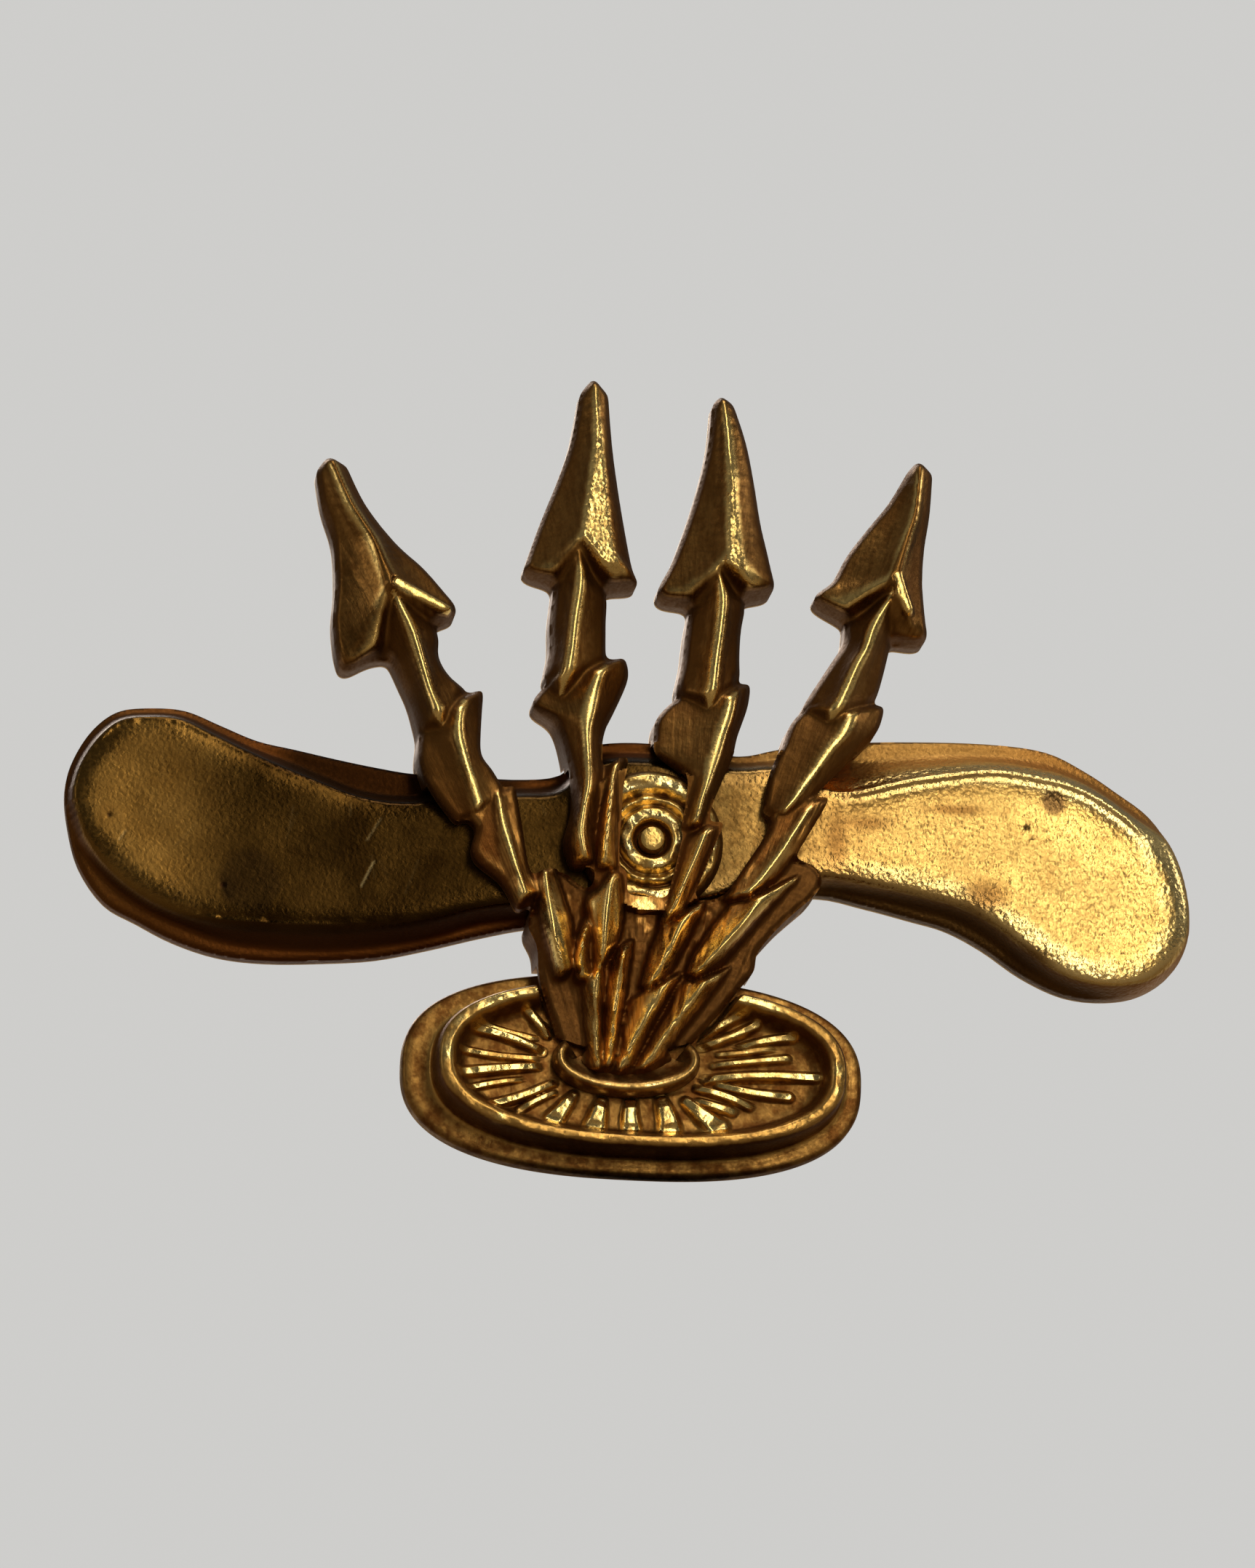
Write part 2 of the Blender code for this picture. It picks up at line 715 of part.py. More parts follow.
def build_dish(mat):
    count = RIBS * 4
    outline = oval(5.80, 2.57, DISH_TILT, count, DISH_CENTRE, DISH_POWER)
    middle = (-0.25, 0.20)  # the collar sits a little up and to the left

    def level(a, b, h, rib=0.0, centre=DISH_CENTRE):
        power = 2.0 + (DISH_POWER - 2.0) * min(1.0, max(0.0, (a - 3.0) / 2.6))
        loop = oval(a, b, DISH_TILT, count, centre, power)
        return [(x, z, h + (rib if i % 4 == 0 else 0.0)) for i, (x, z) in enumerate(loop)]

    dish = stack(
        "dish",
        [
            [(x, z, 0.0) for x, z in outline],
            [(x, z, FLANGE - 0.08) for x, z in outline],
            level(5.72, 2.50, FLANGE),
            level(5.18, 2.15, FLANGE + 0.05, 0.0, BEAD_CENTRE),
            level(5.09, 2.07, DISH_BEAD - 0.30, 0.0, BEAD_CENTRE),
            level(4.90, 1.93, DISH_BEAD, 0.0, BEAD_CENTRE),
            level(4.74, 1.81, DISH_BEAD - 0.16, 0.0, BEAD_CENTRE),
            level(4.58, 1.65, DISH_FLOOR + 0.10, 0.0, BEAD_CENTRE),
            level(4.32, 1.49, DISH_FLOOR, 0.06, BEAD_CENTRE),
            level(4.16, 1.38, DISH_FLOOR, RIB_HEIGHT),
            level(2.35, 0.98, DISH_FLOOR, RIB_HEIGHT * 0.8, middle),
            level(2.15, 0.90, DISH_FLOOR - 0.02, 0.02, middle),
        ],
        mat,
    )
    web = [place(u, v, WEB) for u, v in WEB_OUTLINE]
    # The rim is open at the top, where the bolts come through, down to the collar's middle.
    notch = prism("dish_notch", grow(web, 0.09), DISH_FLOOR, 4.0)
    boolean(dish, notch, "DIFFERENCE")
    return dish, outline


def build_collar(name, mat=None, clearance=0.0):
    """A half-round bead on the dish's floor, round the bolts' feet and open at the top."""
    bm = bmesh.new()
    base = DISH_FLOOR + GAP - clearance
    width, top = 0.20 + clearance, COLLAR_TOP + clearance
    centre = place(861, 1446, COLLAR_TOP)
    a, b = 1.66, 0.72
    spread = clearance / b
    start, end, count = math.radians(-208) - spread, math.radians(28) + spread, 28
    rings = []
    for k in range(count + 1):
        t = start + (end - start) * k / count
        x, z = centre[0] + a * math.cos(t), centre[1] + b * math.sin(t)
        nx, nz = b * math.cos(t), a * math.sin(t)
        size = math.hypot(nx, nz)
        nx, nz = nx / size, nz / size
        ring = []
        for across, up in ((-1, 0), (-0.8, 0.62), (-0.35, 0.95), (0.35, 0.95), (0.8, 0.62), (1, 0)):
            ring.append((x + nx * width * across, z + nz * width * across, base + (top - base) * up))
        rings.append([bm.verts.new((px * MM, -h * MM, pz * MM)) for px, pz, h in ring])
    for p, q in zip(rings, rings[1:]):
        for i in range(len(p)):
            j = (i + 1) % len(p)
            bm.faces.new((p[i], p[j], q[j], q[i]))
    bm.faces.new(rings[0])
    bm.faces.new(list(reversed(rings[-1])))
    return make_object(name, bm, mat)


# ---- the pin-back -------------------------------------------------------------------------
# Modelled along local X from the hinge's axle at the local origin, with local Y away from the
# back, and carried to the insignia by one empty.
def build_pin_back(mat_brass, mat_steel):
    dx, dz = CATCH_AT[0] - HINGE_AT[0], CATCH_AT[1] - HINGE_AT[1]
    length = math.hypot(dx, dz)
    line = bpy.data.objects.new("pin_line", None)
    bpy.context.scene.collection.objects.link(line)
    line.location = (HINGE_AT[0] * MM, PIN_AXIS_DEPTH * MM, HINGE_AT[1] * MM)
    line.rotation_euler = (0.0, -math.atan2(dz, dx), 0.0)
    ground = -PIN_AXIS_DEPTH + GAP  # where the solder pads start

    def on_line(obj, x=0.0):
        obj.parent = line
        obj.location = (x * MM, 0.0, 0.0)
        return obj

    # hinge: a plate with two round-topped ears
    reach = EAR_GAP / 2 + EAR_THICKNESS
    hinge = box(
        "hinge_base", (-1.45, ground, -reach - 0.30), (1.45, ground + BASE_THICKNESS, reach + 0.30), mat_brass
    )
    for k, side in enumerate((-1, 1)):
        bm = bmesh.new()
        arc = [
            (EAR_RADIUS * math.cos(t), EAR_RADIUS * math.sin(t))
            for t in [math.pi * i / 12 for i in range(13)]
        ]
        outline = [(EAR_RADIUS + 0.1, ground + 0.1), *arc, (-EAR_RADIUS - 0.1, ground + 0.1)]
        near, far = side * EAR_GAP / 2, side * reach
        rings = [[bm.verts.new((x * MM, y * MM, z * MM)) for x, y in outline] for z in (near, far)]
        for i in range(len(outline)):
            j = (i + 1) % len(outline)
            bm.faces.new((rings[0][i], rings[0][j], rings[1][j], rings[1][i]))
        bm.faces.new(rings[0])
        bm.faces.new(list(reversed(rings[1])))
        ear = on_line(make_object(f"ear_{k}", bm))
        boolean(hinge, ear, "UNION")
    bore = on_line(
        turned("hinge_bore", [(0, -3.0), (AXLE_HOLE, -3.0), (AXLE_HOLE, 3.0), (0, 3.0)], 24)
    )
    boolean(hinge, bore, "DIFFERENCE")
    on_line(hinge)

    head = reach + GAP
    axle = turned(
        "hinge_rivet",
        [
            (0, -head - 0.16),
            (0.30, -head - 0.13),
            (0.46, -head),
            (AXLE_RADIUS, -head),
            (AXLE_RADIUS, head),
            (0.46, head),
            (0.30, head + 0.13),
            (0, head + 0.16),
        ],
        24,
        mat_steel,
        closed=False,
    )
    on_line(axle)

    # stem: an eye, a straight wire and a ground point
    tip = length + STEM_BEYOND_CATCH
    stem = turned(
        "pin_stem",
        [(0, -EYE_THICKNESS / 2), (EYE_RADIUS, -EYE_THICKNESS / 2), (EYE_RADIUS, EYE_THICKNESS / 2), (0, EYE_THICKNESS / 2)],
        32,
        mat_steel,
        closed=False,
    )
    wire = turned(
        "stem_wire",
        [(0, 0.5), (STEM_RADIUS, 0.5), (STEM_RADIUS, tip - 2.0), (0.20, tip - 0.7), (0.05, tip - 0.03), (0, tip)],
        16,
        closed=False,
    )
    wire.data.transform(Matrix.Rotation(math.radians(90.0), 4, "Y"))
    on_line(wire)
    boolean(stem, wire, "UNION")
    eye_bore = on_line(
        turned("eye_bore", [(0, -3.0), (AXLE_HOLE, -3.0), (AXLE_HOLE, 3.0), (0, 3.0)], 24)
    )
    boolean(stem, eye_bore, "DIFFERENCE")
    on_line(stem)

    # catch: a plate with an open ring about the stem's line
    half = CATCH_WIDTH / 2
    catch = box("catch_body", (-1.1, ground, -1.45), (1.1, ground + BASE_THICKNESS, 1.45), mat_brass)
    ring = turned(
        "catch_ring",
        [(0, -half), (CATCH_OUTER, -half), (CATCH_OUTER, half), (0, half)],
        32,
        closed=False,
    )
    ring.data.transform(Matrix.Rotation(math.radians(90.0), 4, "Y"))
    on_line(ring, length)
    boolean(catch, ring, "UNION")
    bore2 = turned(
        "catch_bore", [(0, -3), (CATCH_INNER, -3), (CATCH_INNER, 3), (0, 3)], 32, closed=False
    )
    bore2.data.transform(Matrix.Rotation(math.radians(90.0), 4, "Y"))
    on_line(bore2, length)
    boolean(catch, bore2, "DIFFERENCE")
    slot = on_line(box("catch_slot", (-3, 0.0, -SLOT_HALF - 0.03), (3, 3.0, SLOT_HALF + 0.03)), length)
    boolean(catch, slot, "DIFFERENCE")
    on_line(catch, length)

    # sleeve: a slotted tube with a rim at each end, and a thumb tab on one rim
    gap = 0.04
    inner = half + gap
    outer = inner + SLEEVE_RIM_WIDTH
    sleeve = turned(
        "catch_sleeve",
        [
            (SLEEVE_INNER, -outer),
            (SLEEVE_RIM - 0.03, -outer),
            (SLEEVE_RIM, -outer + 0.05),
            (SLEEVE_RIM, -inner),
            (SLEEVE_OUTER, -inner),
            (SLEEVE_OUTER, inner),
            (SLEEVE_RIM, inner),
            (SLEEVE_RIM, outer - 0.05),
            (SLEEVE_RIM - 0.03, outer),
            (SLEEVE_INNER, outer),
        ],
        32,
        mat_brass,
    )
    sleeve.data.transform(Matrix.Rotation(math.radians(90.0), 4, "Y"))
    bm = bmesh.new()
    profile = [
        (SLEEVE_INNER + 0.2, -0.26),
        (TAB_REACH - 0.25, -0.30),
        (TAB_REACH - 0.05, -0.20),
        (TAB_REACH, 0.0),
        (TAB_REACH - 0.05, 0.20),
        (TAB_REACH - 0.25, 0.30),
        (SLEEVE_INNER + 0.2, 0.26),
    ]
    rings = [
        [bm.verts.new((x * MM, q * MM, p * MM)) for p, q in profile] for x in (inner + 0.02, outer - 0.02)
    ]
    for i in range(len(profile)):
        j = (i + 1) % len(profile)
        bm.faces.new((rings[0][i], rings[0][j], rings[1][j], rings[1][i]))
    bm.faces.new(rings[0])
    bm.faces.new(list(reversed(rings[1])))
    tab = make_object("thumb_tab", bm)
    tab.data.transform(Matrix.Rotation(math.radians(-172.0), 4, "X"))  # points down, behind the blade
    on_line(tab, length)
    boolean(sleeve, tab, "UNION")
    slot2 = on_line(box("sleeve_slot", (-3, 0.0, -SLOT_HALF), (3, 3.0, SLOT_HALF)), length)
    boolean(sleeve, slot2, "DIFFERENCE")
    on_line(sleeve, length)


def main():
    clear_scene()
    gilt = material("gilt_face", (0.62, 0.42, 0.16), 0.38)
    gilt_dark = material("gilt_bolts", (0.52, 0.32, 0.11), 0.28)
    gilt_hub = material("gilt_hub", (0.70, 0.50, 0.22), 0.45)
    gilt_rivet = material("gilt_rivet", (0.78, 0.60, 0.28), 0.40)
    gilt_dish = material("gilt_dish", (0.55, 0.34, 0.12), 0.33)
    gilt_collar = material("gilt_collar", (0.60, 0.40, 0.16), 0.30)
    brass = material("brass_fittings", (0.60, 0.45, 0.20), 0.35)
    steel = material("pin_steel", (0.62, 0.61, 0.58), 0.25)

    hub_x, hub_z = place(*HUB_ON_DRAWING, HUB_TOP)
    _, outline, foot = build_propeller(gilt, hub_x, hub_z)
    build_hub(gilt_hub, gilt_rivet, hub_x, hub_z)
    _, dish_outline = build_dish(gilt_dish)
    build_spray(gilt_dark, outline, foot, dish_outline, hub_x, hub_z)
    build_collar("dish_collar", gilt_collar)
    build_pin_back(brass, steel)

    for obj in bpy.context.scene.collection.objects:
        if obj.type == "MESH" and not obj.hide_render and obj.name not in ("dish", "propeller"):
            obj.data.shade_smooth()
            obj.data.set_sharp_from_angle(angle=math.radians(35.0))


main()
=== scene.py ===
# A gilt winged-propeller pin. The propeller lies along X, a spray of four lightning bolts rises
# from a ribbed oval dish below it, and a riveted hub holds the two where they cross.
# The flat back lies at Y = 0, the front faces -Y and Z is up. Shapes are worked out in
# millimetres, with heights measured forward from the back, and scaled to metres by MM.
import math

import bmesh
import bpy
import numpy as np
from mathutils import Matrix, Vector


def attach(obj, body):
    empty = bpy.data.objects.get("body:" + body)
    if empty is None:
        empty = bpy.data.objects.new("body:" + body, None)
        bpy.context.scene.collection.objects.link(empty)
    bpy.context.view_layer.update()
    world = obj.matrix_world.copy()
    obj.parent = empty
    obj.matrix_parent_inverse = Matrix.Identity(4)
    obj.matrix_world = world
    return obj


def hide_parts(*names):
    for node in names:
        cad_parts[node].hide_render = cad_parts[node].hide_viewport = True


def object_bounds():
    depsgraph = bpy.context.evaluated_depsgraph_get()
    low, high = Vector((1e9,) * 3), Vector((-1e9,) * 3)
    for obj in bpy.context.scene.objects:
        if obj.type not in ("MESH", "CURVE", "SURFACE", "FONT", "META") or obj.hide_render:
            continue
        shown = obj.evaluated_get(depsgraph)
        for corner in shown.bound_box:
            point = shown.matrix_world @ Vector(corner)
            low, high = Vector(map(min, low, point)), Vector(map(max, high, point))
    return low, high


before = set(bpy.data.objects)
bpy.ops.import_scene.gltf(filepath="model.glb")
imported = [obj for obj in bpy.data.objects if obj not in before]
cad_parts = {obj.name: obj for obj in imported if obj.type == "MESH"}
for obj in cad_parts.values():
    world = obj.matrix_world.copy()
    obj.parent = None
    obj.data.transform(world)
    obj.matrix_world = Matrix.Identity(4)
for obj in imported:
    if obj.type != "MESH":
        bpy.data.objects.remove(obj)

for leftover in ("Cube", "Light", "Camera"):
    if leftover in bpy.data.objects:
        bpy.data.objects.remove(bpy.data.objects[leftover], do_unlink=True)

CAD_LOW, CAD_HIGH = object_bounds()
MM = 0.001

# ---- the pattern drawing -------------------------------------------------------------------
# Outlines are given on an oblique drawing, seen from the left and below, as steps across and
# steps down. The propeller's width takes up DRAWING_WIDTH steps.
PROPELLER_WIDTH, DRAWING_WIDTH = 28.6, 1550.0
VIEW_LEFT, VIEW_BELOW = math.radians(7.0), math.radians(14.0)
SIN_LEFT, COS_LEFT = math.sin(VIEW_LEFT), math.cos(VIEW_LEFT)
SIN_BELOW, COS_BELOW = math.sin(VIEW_BELOW), math.cos(VIEW_BELOW)
STEP = PROPELLER_WIDTH * COS_LEFT / DRAWING_WIDTH
ORIGIN_ACROSS, ORIGIN_DOWN = 865.0, 1485.0  # where X = Z = 0 of the back lies on the drawing


def place(across, down, height):
    """X and Z of a point of the drawing at a height above the back."""
    x = ((across - ORIGIN_ACROSS) * STEP - height * SIN_LEFT) / COS_LEFT
    rise = (ORIGIN_DOWN - down) * STEP
    return x, (rise + x * SIN_LEFT * SIN_BELOW - height * COS_LEFT * SIN_BELOW) / COS_BELOW


def on_drawing(x, z, height):
    """The reverse of place: steps across and down."""
    across = (x * COS_LEFT + height * SIN_LEFT) / STEP + ORIGIN_ACROSS
    rise = z * COS_BELOW - x * SIN_LEFT * SIN_BELOW + height * COS_LEFT * SIN_BELOW
    return across, ORIGIN_DOWN - rise / STEP


# ---- sizes ---------------------------------------------------------------------------------
FLANGE = 0.55  # height of the thin border round the propeller
FACE = 1.42  # height of the propeller's face
GAP = 0.03  # clearance between stacked pieces
WALL_ROWS = 3  # rows of faces down the side of a struck piece

HUB_TOP, HUB_RADIUS = 1.95, 1.83
HUB_X, HUB_Z = place(894.0, 1149.0, HUB_TOP)

DISH_FLOOR = 1.15
RIB_HEIGHT = 0.24 * 0.92
DISH_TILT = math.radians(-1.5)
DISH_POWER = 2.55  # 2 is an ellipse, more is fuller
DISH_CENTRE = (-0.04, 0.09)
BEAD_SHIFT = (0.12, 0.03)  # the bead stands a little off the dish's centre
RIBS_SHIFT = (-0.25, 0.20)  # and so does the middle of the floor

COLLAR_TOP = 1.75
COLLAR_X, COLLAR_Z = place(861, 1446, COLLAR_TOP)
COLLAR_HALF_X, COLLAR_HALF_Z = 1.66, 0.72

WEB = 1.45  # height of the ground between the bolts

# Propeller: steps across and down of its rim, then of the wall's foot, then of the face's edge.
RIM, FOOT, EDGE_OF_FACE = 0, 2, 4
PROPELLER = (
    (90, 1082, 98, 1086, 103, 1088), (101, 1043, 108, 1046, 114, 1050),
    (126, 1004, 132, 1008, 138, 1013), (160, 979, 164, 983, 168, 989),
    (205, 974, 206, 978, 208, 984), (252, 978, 251, 982, 250, 988),
    (300, 998, 297, 1003, 295, 1009), (350, 1019, 345, 1026, 342, 1032),
    (402, 1031, 394, 1044, 388, 1054), (462, 1045, 445, 1066, 440, 1074),
    (515, 1056, 495, 1085, 492, 1093), (564, 1064, 550, 1092, 550, 1102),
    (625, 1066, 612, 1088, 612, 1098), (700, 1072, 700, 1082, 700, 1092),
    (765, 1066, 765, 1076, 765, 1088), (800, 1030, 800, 1042, 802, 1054),
    (850, 1021, 850, 1032, 850, 1044), (930, 1026, 930, 1036, 930, 1048),
    (1010, 1040, 1010, 1047, 1010, 1056), (1070, 1030, 1075, 1042, 1080, 1054),
    (1150, 1022, 1152, 1050, 1154, 1083), (1250, 1020, 1250, 1038, 1250, 1065),
    (1357, 1023, 1357, 1036, 1357, 1053), (1437, 1034, 1434, 1046, 1430, 1062),
    (1491, 1060, 1487, 1066, 1483, 1076), (1536, 1090, 1532, 1094, 1527, 1100),
    (1582, 1125, 1577, 1129, 1570, 1135), (1616, 1174, 1611, 1177, 1603, 1181),
    (1633, 1230, 1628, 1231, 1620, 1233), (1635, 1287, 1630, 1286, 1620, 1281),
    (1613, 1336, 1608, 1331, 1599, 1320), (1570, 1366, 1567, 1359, 1562, 1345),
    (1519, 1375, 1518, 1367, 1519, 1351), (1461, 1368, 1465, 1358, 1471, 1340),
    (1403, 1341, 1411, 1329, 1420, 1311), (1350, 1304, 1361, 1291, 1372, 1271),
    (1300, 1277, 1309, 1261, 1318, 1242), (1249, 1262, 1254, 1246, 1260, 1226),
    (1186, 1245, 1189, 1229, 1194, 1213), (1120, 1231, 1122, 1217, 1124, 1205),
    (1040, 1240, 1040, 1228, 1040, 1218), (940, 1262, 940, 1250, 940, 1238),
    (830, 1268, 830, 1254, 830, 1240), (730, 1272, 730, 1258, 728, 1236),
    (660, 1284, 658, 1266, 656, 1242), (590, 1300, 588, 1286, 586, 1256),
    (515, 1314, 512, 1298, 512, 1262), (440, 1318, 440, 1302, 440, 1264),
    (365, 1318, 365, 1298, 365, 1260), (300, 1310, 304, 1288, 308, 1256),
    (240, 1290, 244, 1264, 250, 1246), (190, 1264, 190, 1236, 200, 1222),
    (145, 1238, 148, 1202, 158, 1188), (110, 1188, 118, 1160, 126, 1152),
    (94, 1130, 103, 1120, 110, 1118),
)

# The bolts from left to right, each a chain of bars from its head down, each bar a list of
# stations: steps across and down of the left edge, then of the ridge, then of the right edge.
BOLTS = (
    (
        (
            (431, 641, 449, 617, 470, 634), (440, 690, 480, 684, 497, 688),
            (456, 740, 511, 733, 539, 741), (460, 800, 525, 770, 577, 775),
            (457, 850, 531, 784, 606, 808), (464, 900, 533, 792, 622, 828),
            (477, 914, 535, 797, 620, 842), (519, 889, 537, 803, 595, 850),
        ), (
            (520, 884, 546, 818, 572, 836), (535, 900, 561, 852, 597, 866),
            (551, 932, 575, 892, 599, 898), (566, 964, 589, 945, 614, 924),
            (577, 998, 602, 976, 636, 942),
        ), (
            (580, 985, 636, 966, 661, 943), (577, 1010, 631, 1000, 658, 996),
            (577, 1040, 641, 1040, 659, 1032), (592, 1078, 652, 1075, 674, 1054),
            (628, 1126, 659, 1106, 690, 1082),
        ), (
            (668, 1112, 682, 1085, 704, 1074), (654, 1142, 690, 1122, 711, 1112),
            (652, 1174, 702, 1160, 717, 1150), (690, 1206, 712, 1194, 724, 1188),
            (712, 1244, 722, 1226, 738, 1222),
        ), (
            (738, 1196, 746, 1186, 762, 1190), (738, 1226, 750, 1226, 776, 1234),
            (743, 1262, 757, 1262, 786, 1262), (752, 1300, 764, 1296, 788, 1292),
            (762, 1336, 773, 1330, 788, 1326),
        ), (
            (788, 1290, 804, 1268, 812, 1268), (786, 1312, 796, 1302, 812, 1308),
            (790, 1342, 798, 1336, 812, 1340),
        ), (
            (796, 1338, 820, 1333, 832, 1328), (800, 1380, 818, 1380, 827, 1380),
            (804, 1430, 819, 1430, 827, 1436), (808, 1466, 821, 1462, 828, 1460),
        ),
    ), (
        (
            (796, 530, 814, 507, 832, 532), (784, 596, 815, 592, 837, 600),
            (766, 650, 809, 645, 845, 662), (744, 705, 803, 690, 856, 728),
            (724, 762, 799, 718, 866, 778), (721, 780, 797, 732, 873, 799),
            (759, 790, 797, 737, 832, 802),
        ), (
            (764, 782, 792, 742, 812, 772), (760, 806, 796, 785, 829, 812),
            (755, 850, 787, 845, 829, 850), (755, 890, 781, 888, 829, 882),
            (746, 930, 775, 926, 829, 896),
        ), (
            (776, 922, 826, 916, 856, 900), (744, 944, 815, 944, 860, 926),
            (732, 966, 811, 972, 846, 962), (762, 988, 806, 1000, 830, 994),
            (778, 1030, 807, 1034, 824, 1024), (786, 1078, 807, 1070, 826, 1072),
            (786, 1112, 799, 1106, 820, 1112), (777, 1150, 796, 1138, 815, 1144),
            (788, 1184, 804, 1174, 814, 1184),
        ), (
            (828, 1056, 848, 1034, 862, 1036), (827, 1078, 839, 1066, 852, 1074),
            (822, 1112, 834, 1108, 850, 1112), (818, 1150, 830, 1146, 848, 1150),
            (816, 1190, 827, 1182, 846, 1188),
        ), (
            (804, 1236, 838, 1204, 857, 1190), (806, 1258, 832, 1242, 857, 1230),
            (810, 1298, 828, 1290, 850, 1280), (815, 1332, 823, 1326, 838, 1304),
        ), (
            (832, 1322, 854, 1306, 868, 1288), (829, 1362, 849, 1350, 861, 1336),
            (828, 1410, 841, 1404, 852, 1398), (828, 1462, 834, 1458, 842, 1454),
        ),
    ), (
        (
            (980, 546, 992, 530, 1007, 545), (975, 600, 999, 596, 1024, 598),
            (964, 650, 1002, 648, 1035, 655), (947, 706, 1000, 702, 1044, 712),
            (925, 765, 999, 750, 1057, 770), (904, 812, 996, 764, 1061, 806),
            (948, 820, 995, 769, 1023, 815),
        ), (
            (958, 806, 988, 778, 1006, 803), (948, 838, 993, 812, 1021, 826),
            (942, 872, 990, 858, 1016, 862), (938, 906, 983, 902, 1014, 900),
            (929, 944, 977, 952, 1015, 926),
        ), (
            (922, 962, 1009, 952, 1029, 935), (902, 984, 1003, 980, 1025, 966),
            (899, 1008, 994, 1006, 1010, 1008), (900, 1032, 984, 1035, 1004, 1034),
            (940, 1062, 971, 1070, 991, 1064), (941, 1100, 960, 1100, 976, 1098),
            (934, 1138, 955, 1126, 962, 1128),
        ), (
            (936, 1150, 968, 1138, 992, 1126), (926, 1192, 949, 1182, 974, 1166),
            (914, 1236, 928, 1226, 954, 1214), (904, 1268, 914, 1256, 936, 1246),
        ), (
            (903, 1272, 940, 1254, 966, 1236), (890, 1306, 917, 1300, 946, 1278),
            (878, 1350, 892, 1346, 918, 1330),
        ), (
            (862, 1368, 912, 1346, 936, 1332), (852, 1402, 893, 1382, 914, 1370),
            (845, 1440, 868, 1424, 888, 1416), (840, 1466, 852, 1462, 866, 1460),
        ),
    ), (
        (
            (1252, 640, 1269, 619, 1285, 641), (1226, 683, 1262, 694, 1280, 700),
            (1198, 717, 1251, 730, 1272, 748), (1167, 757, 1241, 760, 1269, 795),
            (1147, 793, 1234, 780, 1272, 838), (1121, 816, 1231, 790, 1272, 876),
            (1160, 838, 1229, 796, 1227, 873),
        ), (
            (1190, 838, 1222, 812, 1236, 852), (1166, 852, 1200, 858, 1226, 876),
            (1162, 878, 1190, 886, 1221, 892), (1144, 906, 1176, 910, 1215, 916),
            (1120, 942, 1160, 946, 1207, 944), (1104, 966, 1148, 972, 1202, 956),
        ), (
            (1108, 970, 1170, 978, 1215, 966), (1088, 990, 1157, 1006, 1205, 998),
            (1075, 1022, 1138, 1028, 1180, 1026), (1062, 1048, 1114, 1062, 1148, 1056),
            (1052, 1082, 1094, 1090, 1124, 1080), (1046, 1116, 1076, 1112, 1112, 1092),
        ), (
            (1062, 1122, 1110, 1108, 1138, 1091), (1046, 1152, 1084, 1148, 1112, 1134),
            (1020, 1190, 1058, 1186, 1088, 1172), (992, 1232, 1026, 1224, 1062, 1204),
        ), (
            (998, 1240, 1046, 1226, 1096, 1200), (976, 1268, 1018, 1264, 1058, 1240),
            (955, 1298, 986, 1300, 1020, 1284), (938, 1334, 956, 1330, 992, 1316),
        ), (
            (930, 1346, 968, 1342, 1001, 1324), (910, 1386, 938, 1382, 968, 1370),
            (886, 1430, 908, 1420, 934, 1412), (866, 1466, 884, 1458, 906, 1452),
        ),
    ),
)

# The ground between the bolts' lower halves, out to the trimmed edges: across and down.
WEB_OUTLINE = (
    (725, 1262), (737, 1296), (740, 1332), (748, 1366), (760, 1400), (772, 1432),
    (800, 1462), (845, 1473), (890, 1469), (930, 1444), (956, 1416), (986, 1384),
    (1014, 1350), (1031, 1330), (1035, 1306), (1070, 1266), (1122, 1218), (1104, 1186),
    (1040, 1190), (1010, 1222), (956, 1240), (856, 1236), (800, 1222), (760, 1200),
)

# Heights of the bolts down the drawing: steps down, height of ridges, height of edges.
HEIGHTS = np.array([
    (520, 1.10, 0.85), (640, 1.45, 0.90), (800, 1.85, 1.05), (950, 1.90, 1.10),
    (1030, 2.20, 1.60), (1080, 2.50, 1.95), (1150, 2.70, 2.15), (1240, 2.65, 2.10),
    (1320, 2.40, 1.85), (1400, 2.10, 1.65), (1470, 1.80, 1.50),
])
RIDGE, EDGE = 1, 2

# How far the second and third heads' right faces stay flat beside the ridge: (along, share).
FLAT_FACES = {
    1: ((0.0, 1.0), (0.06, 0.90), (0.14, 0.62), (0.3, 0.45), (0.6, 0.37), (0.9, 0.32), (1.0, 0.34)),
    2: ((0.0, 1.0), (0.22, 0.98), (0.34, 0.82), (0.5, 0.70), (0.8, 0.62), (1.0, 0.56)),
}
# Flat strips above the rolled edges of the outer heads' right barbs, which take a painted
# highlight: a line on the drawing, and the heights at its ends.
STRIPS = (
    (((541, 799), (576, 815), (612, 834)), (1.60, 1.44)),
    (((1232, 790), (1240, 812), (1248, 834)), (1.72, 1.62)),
)
# Rolled lower edges of the heads' right barbs, as lines on the drawing.
ROLLS = (
    ((537, 797), (575, 813), (612, 834)),
    ((800, 738), (826, 776), (862, 800)),
    ((1000, 770), (1020, 790), (1050, 806)),
    ((1233, 792), (1243, 820), (1256, 850)),
)

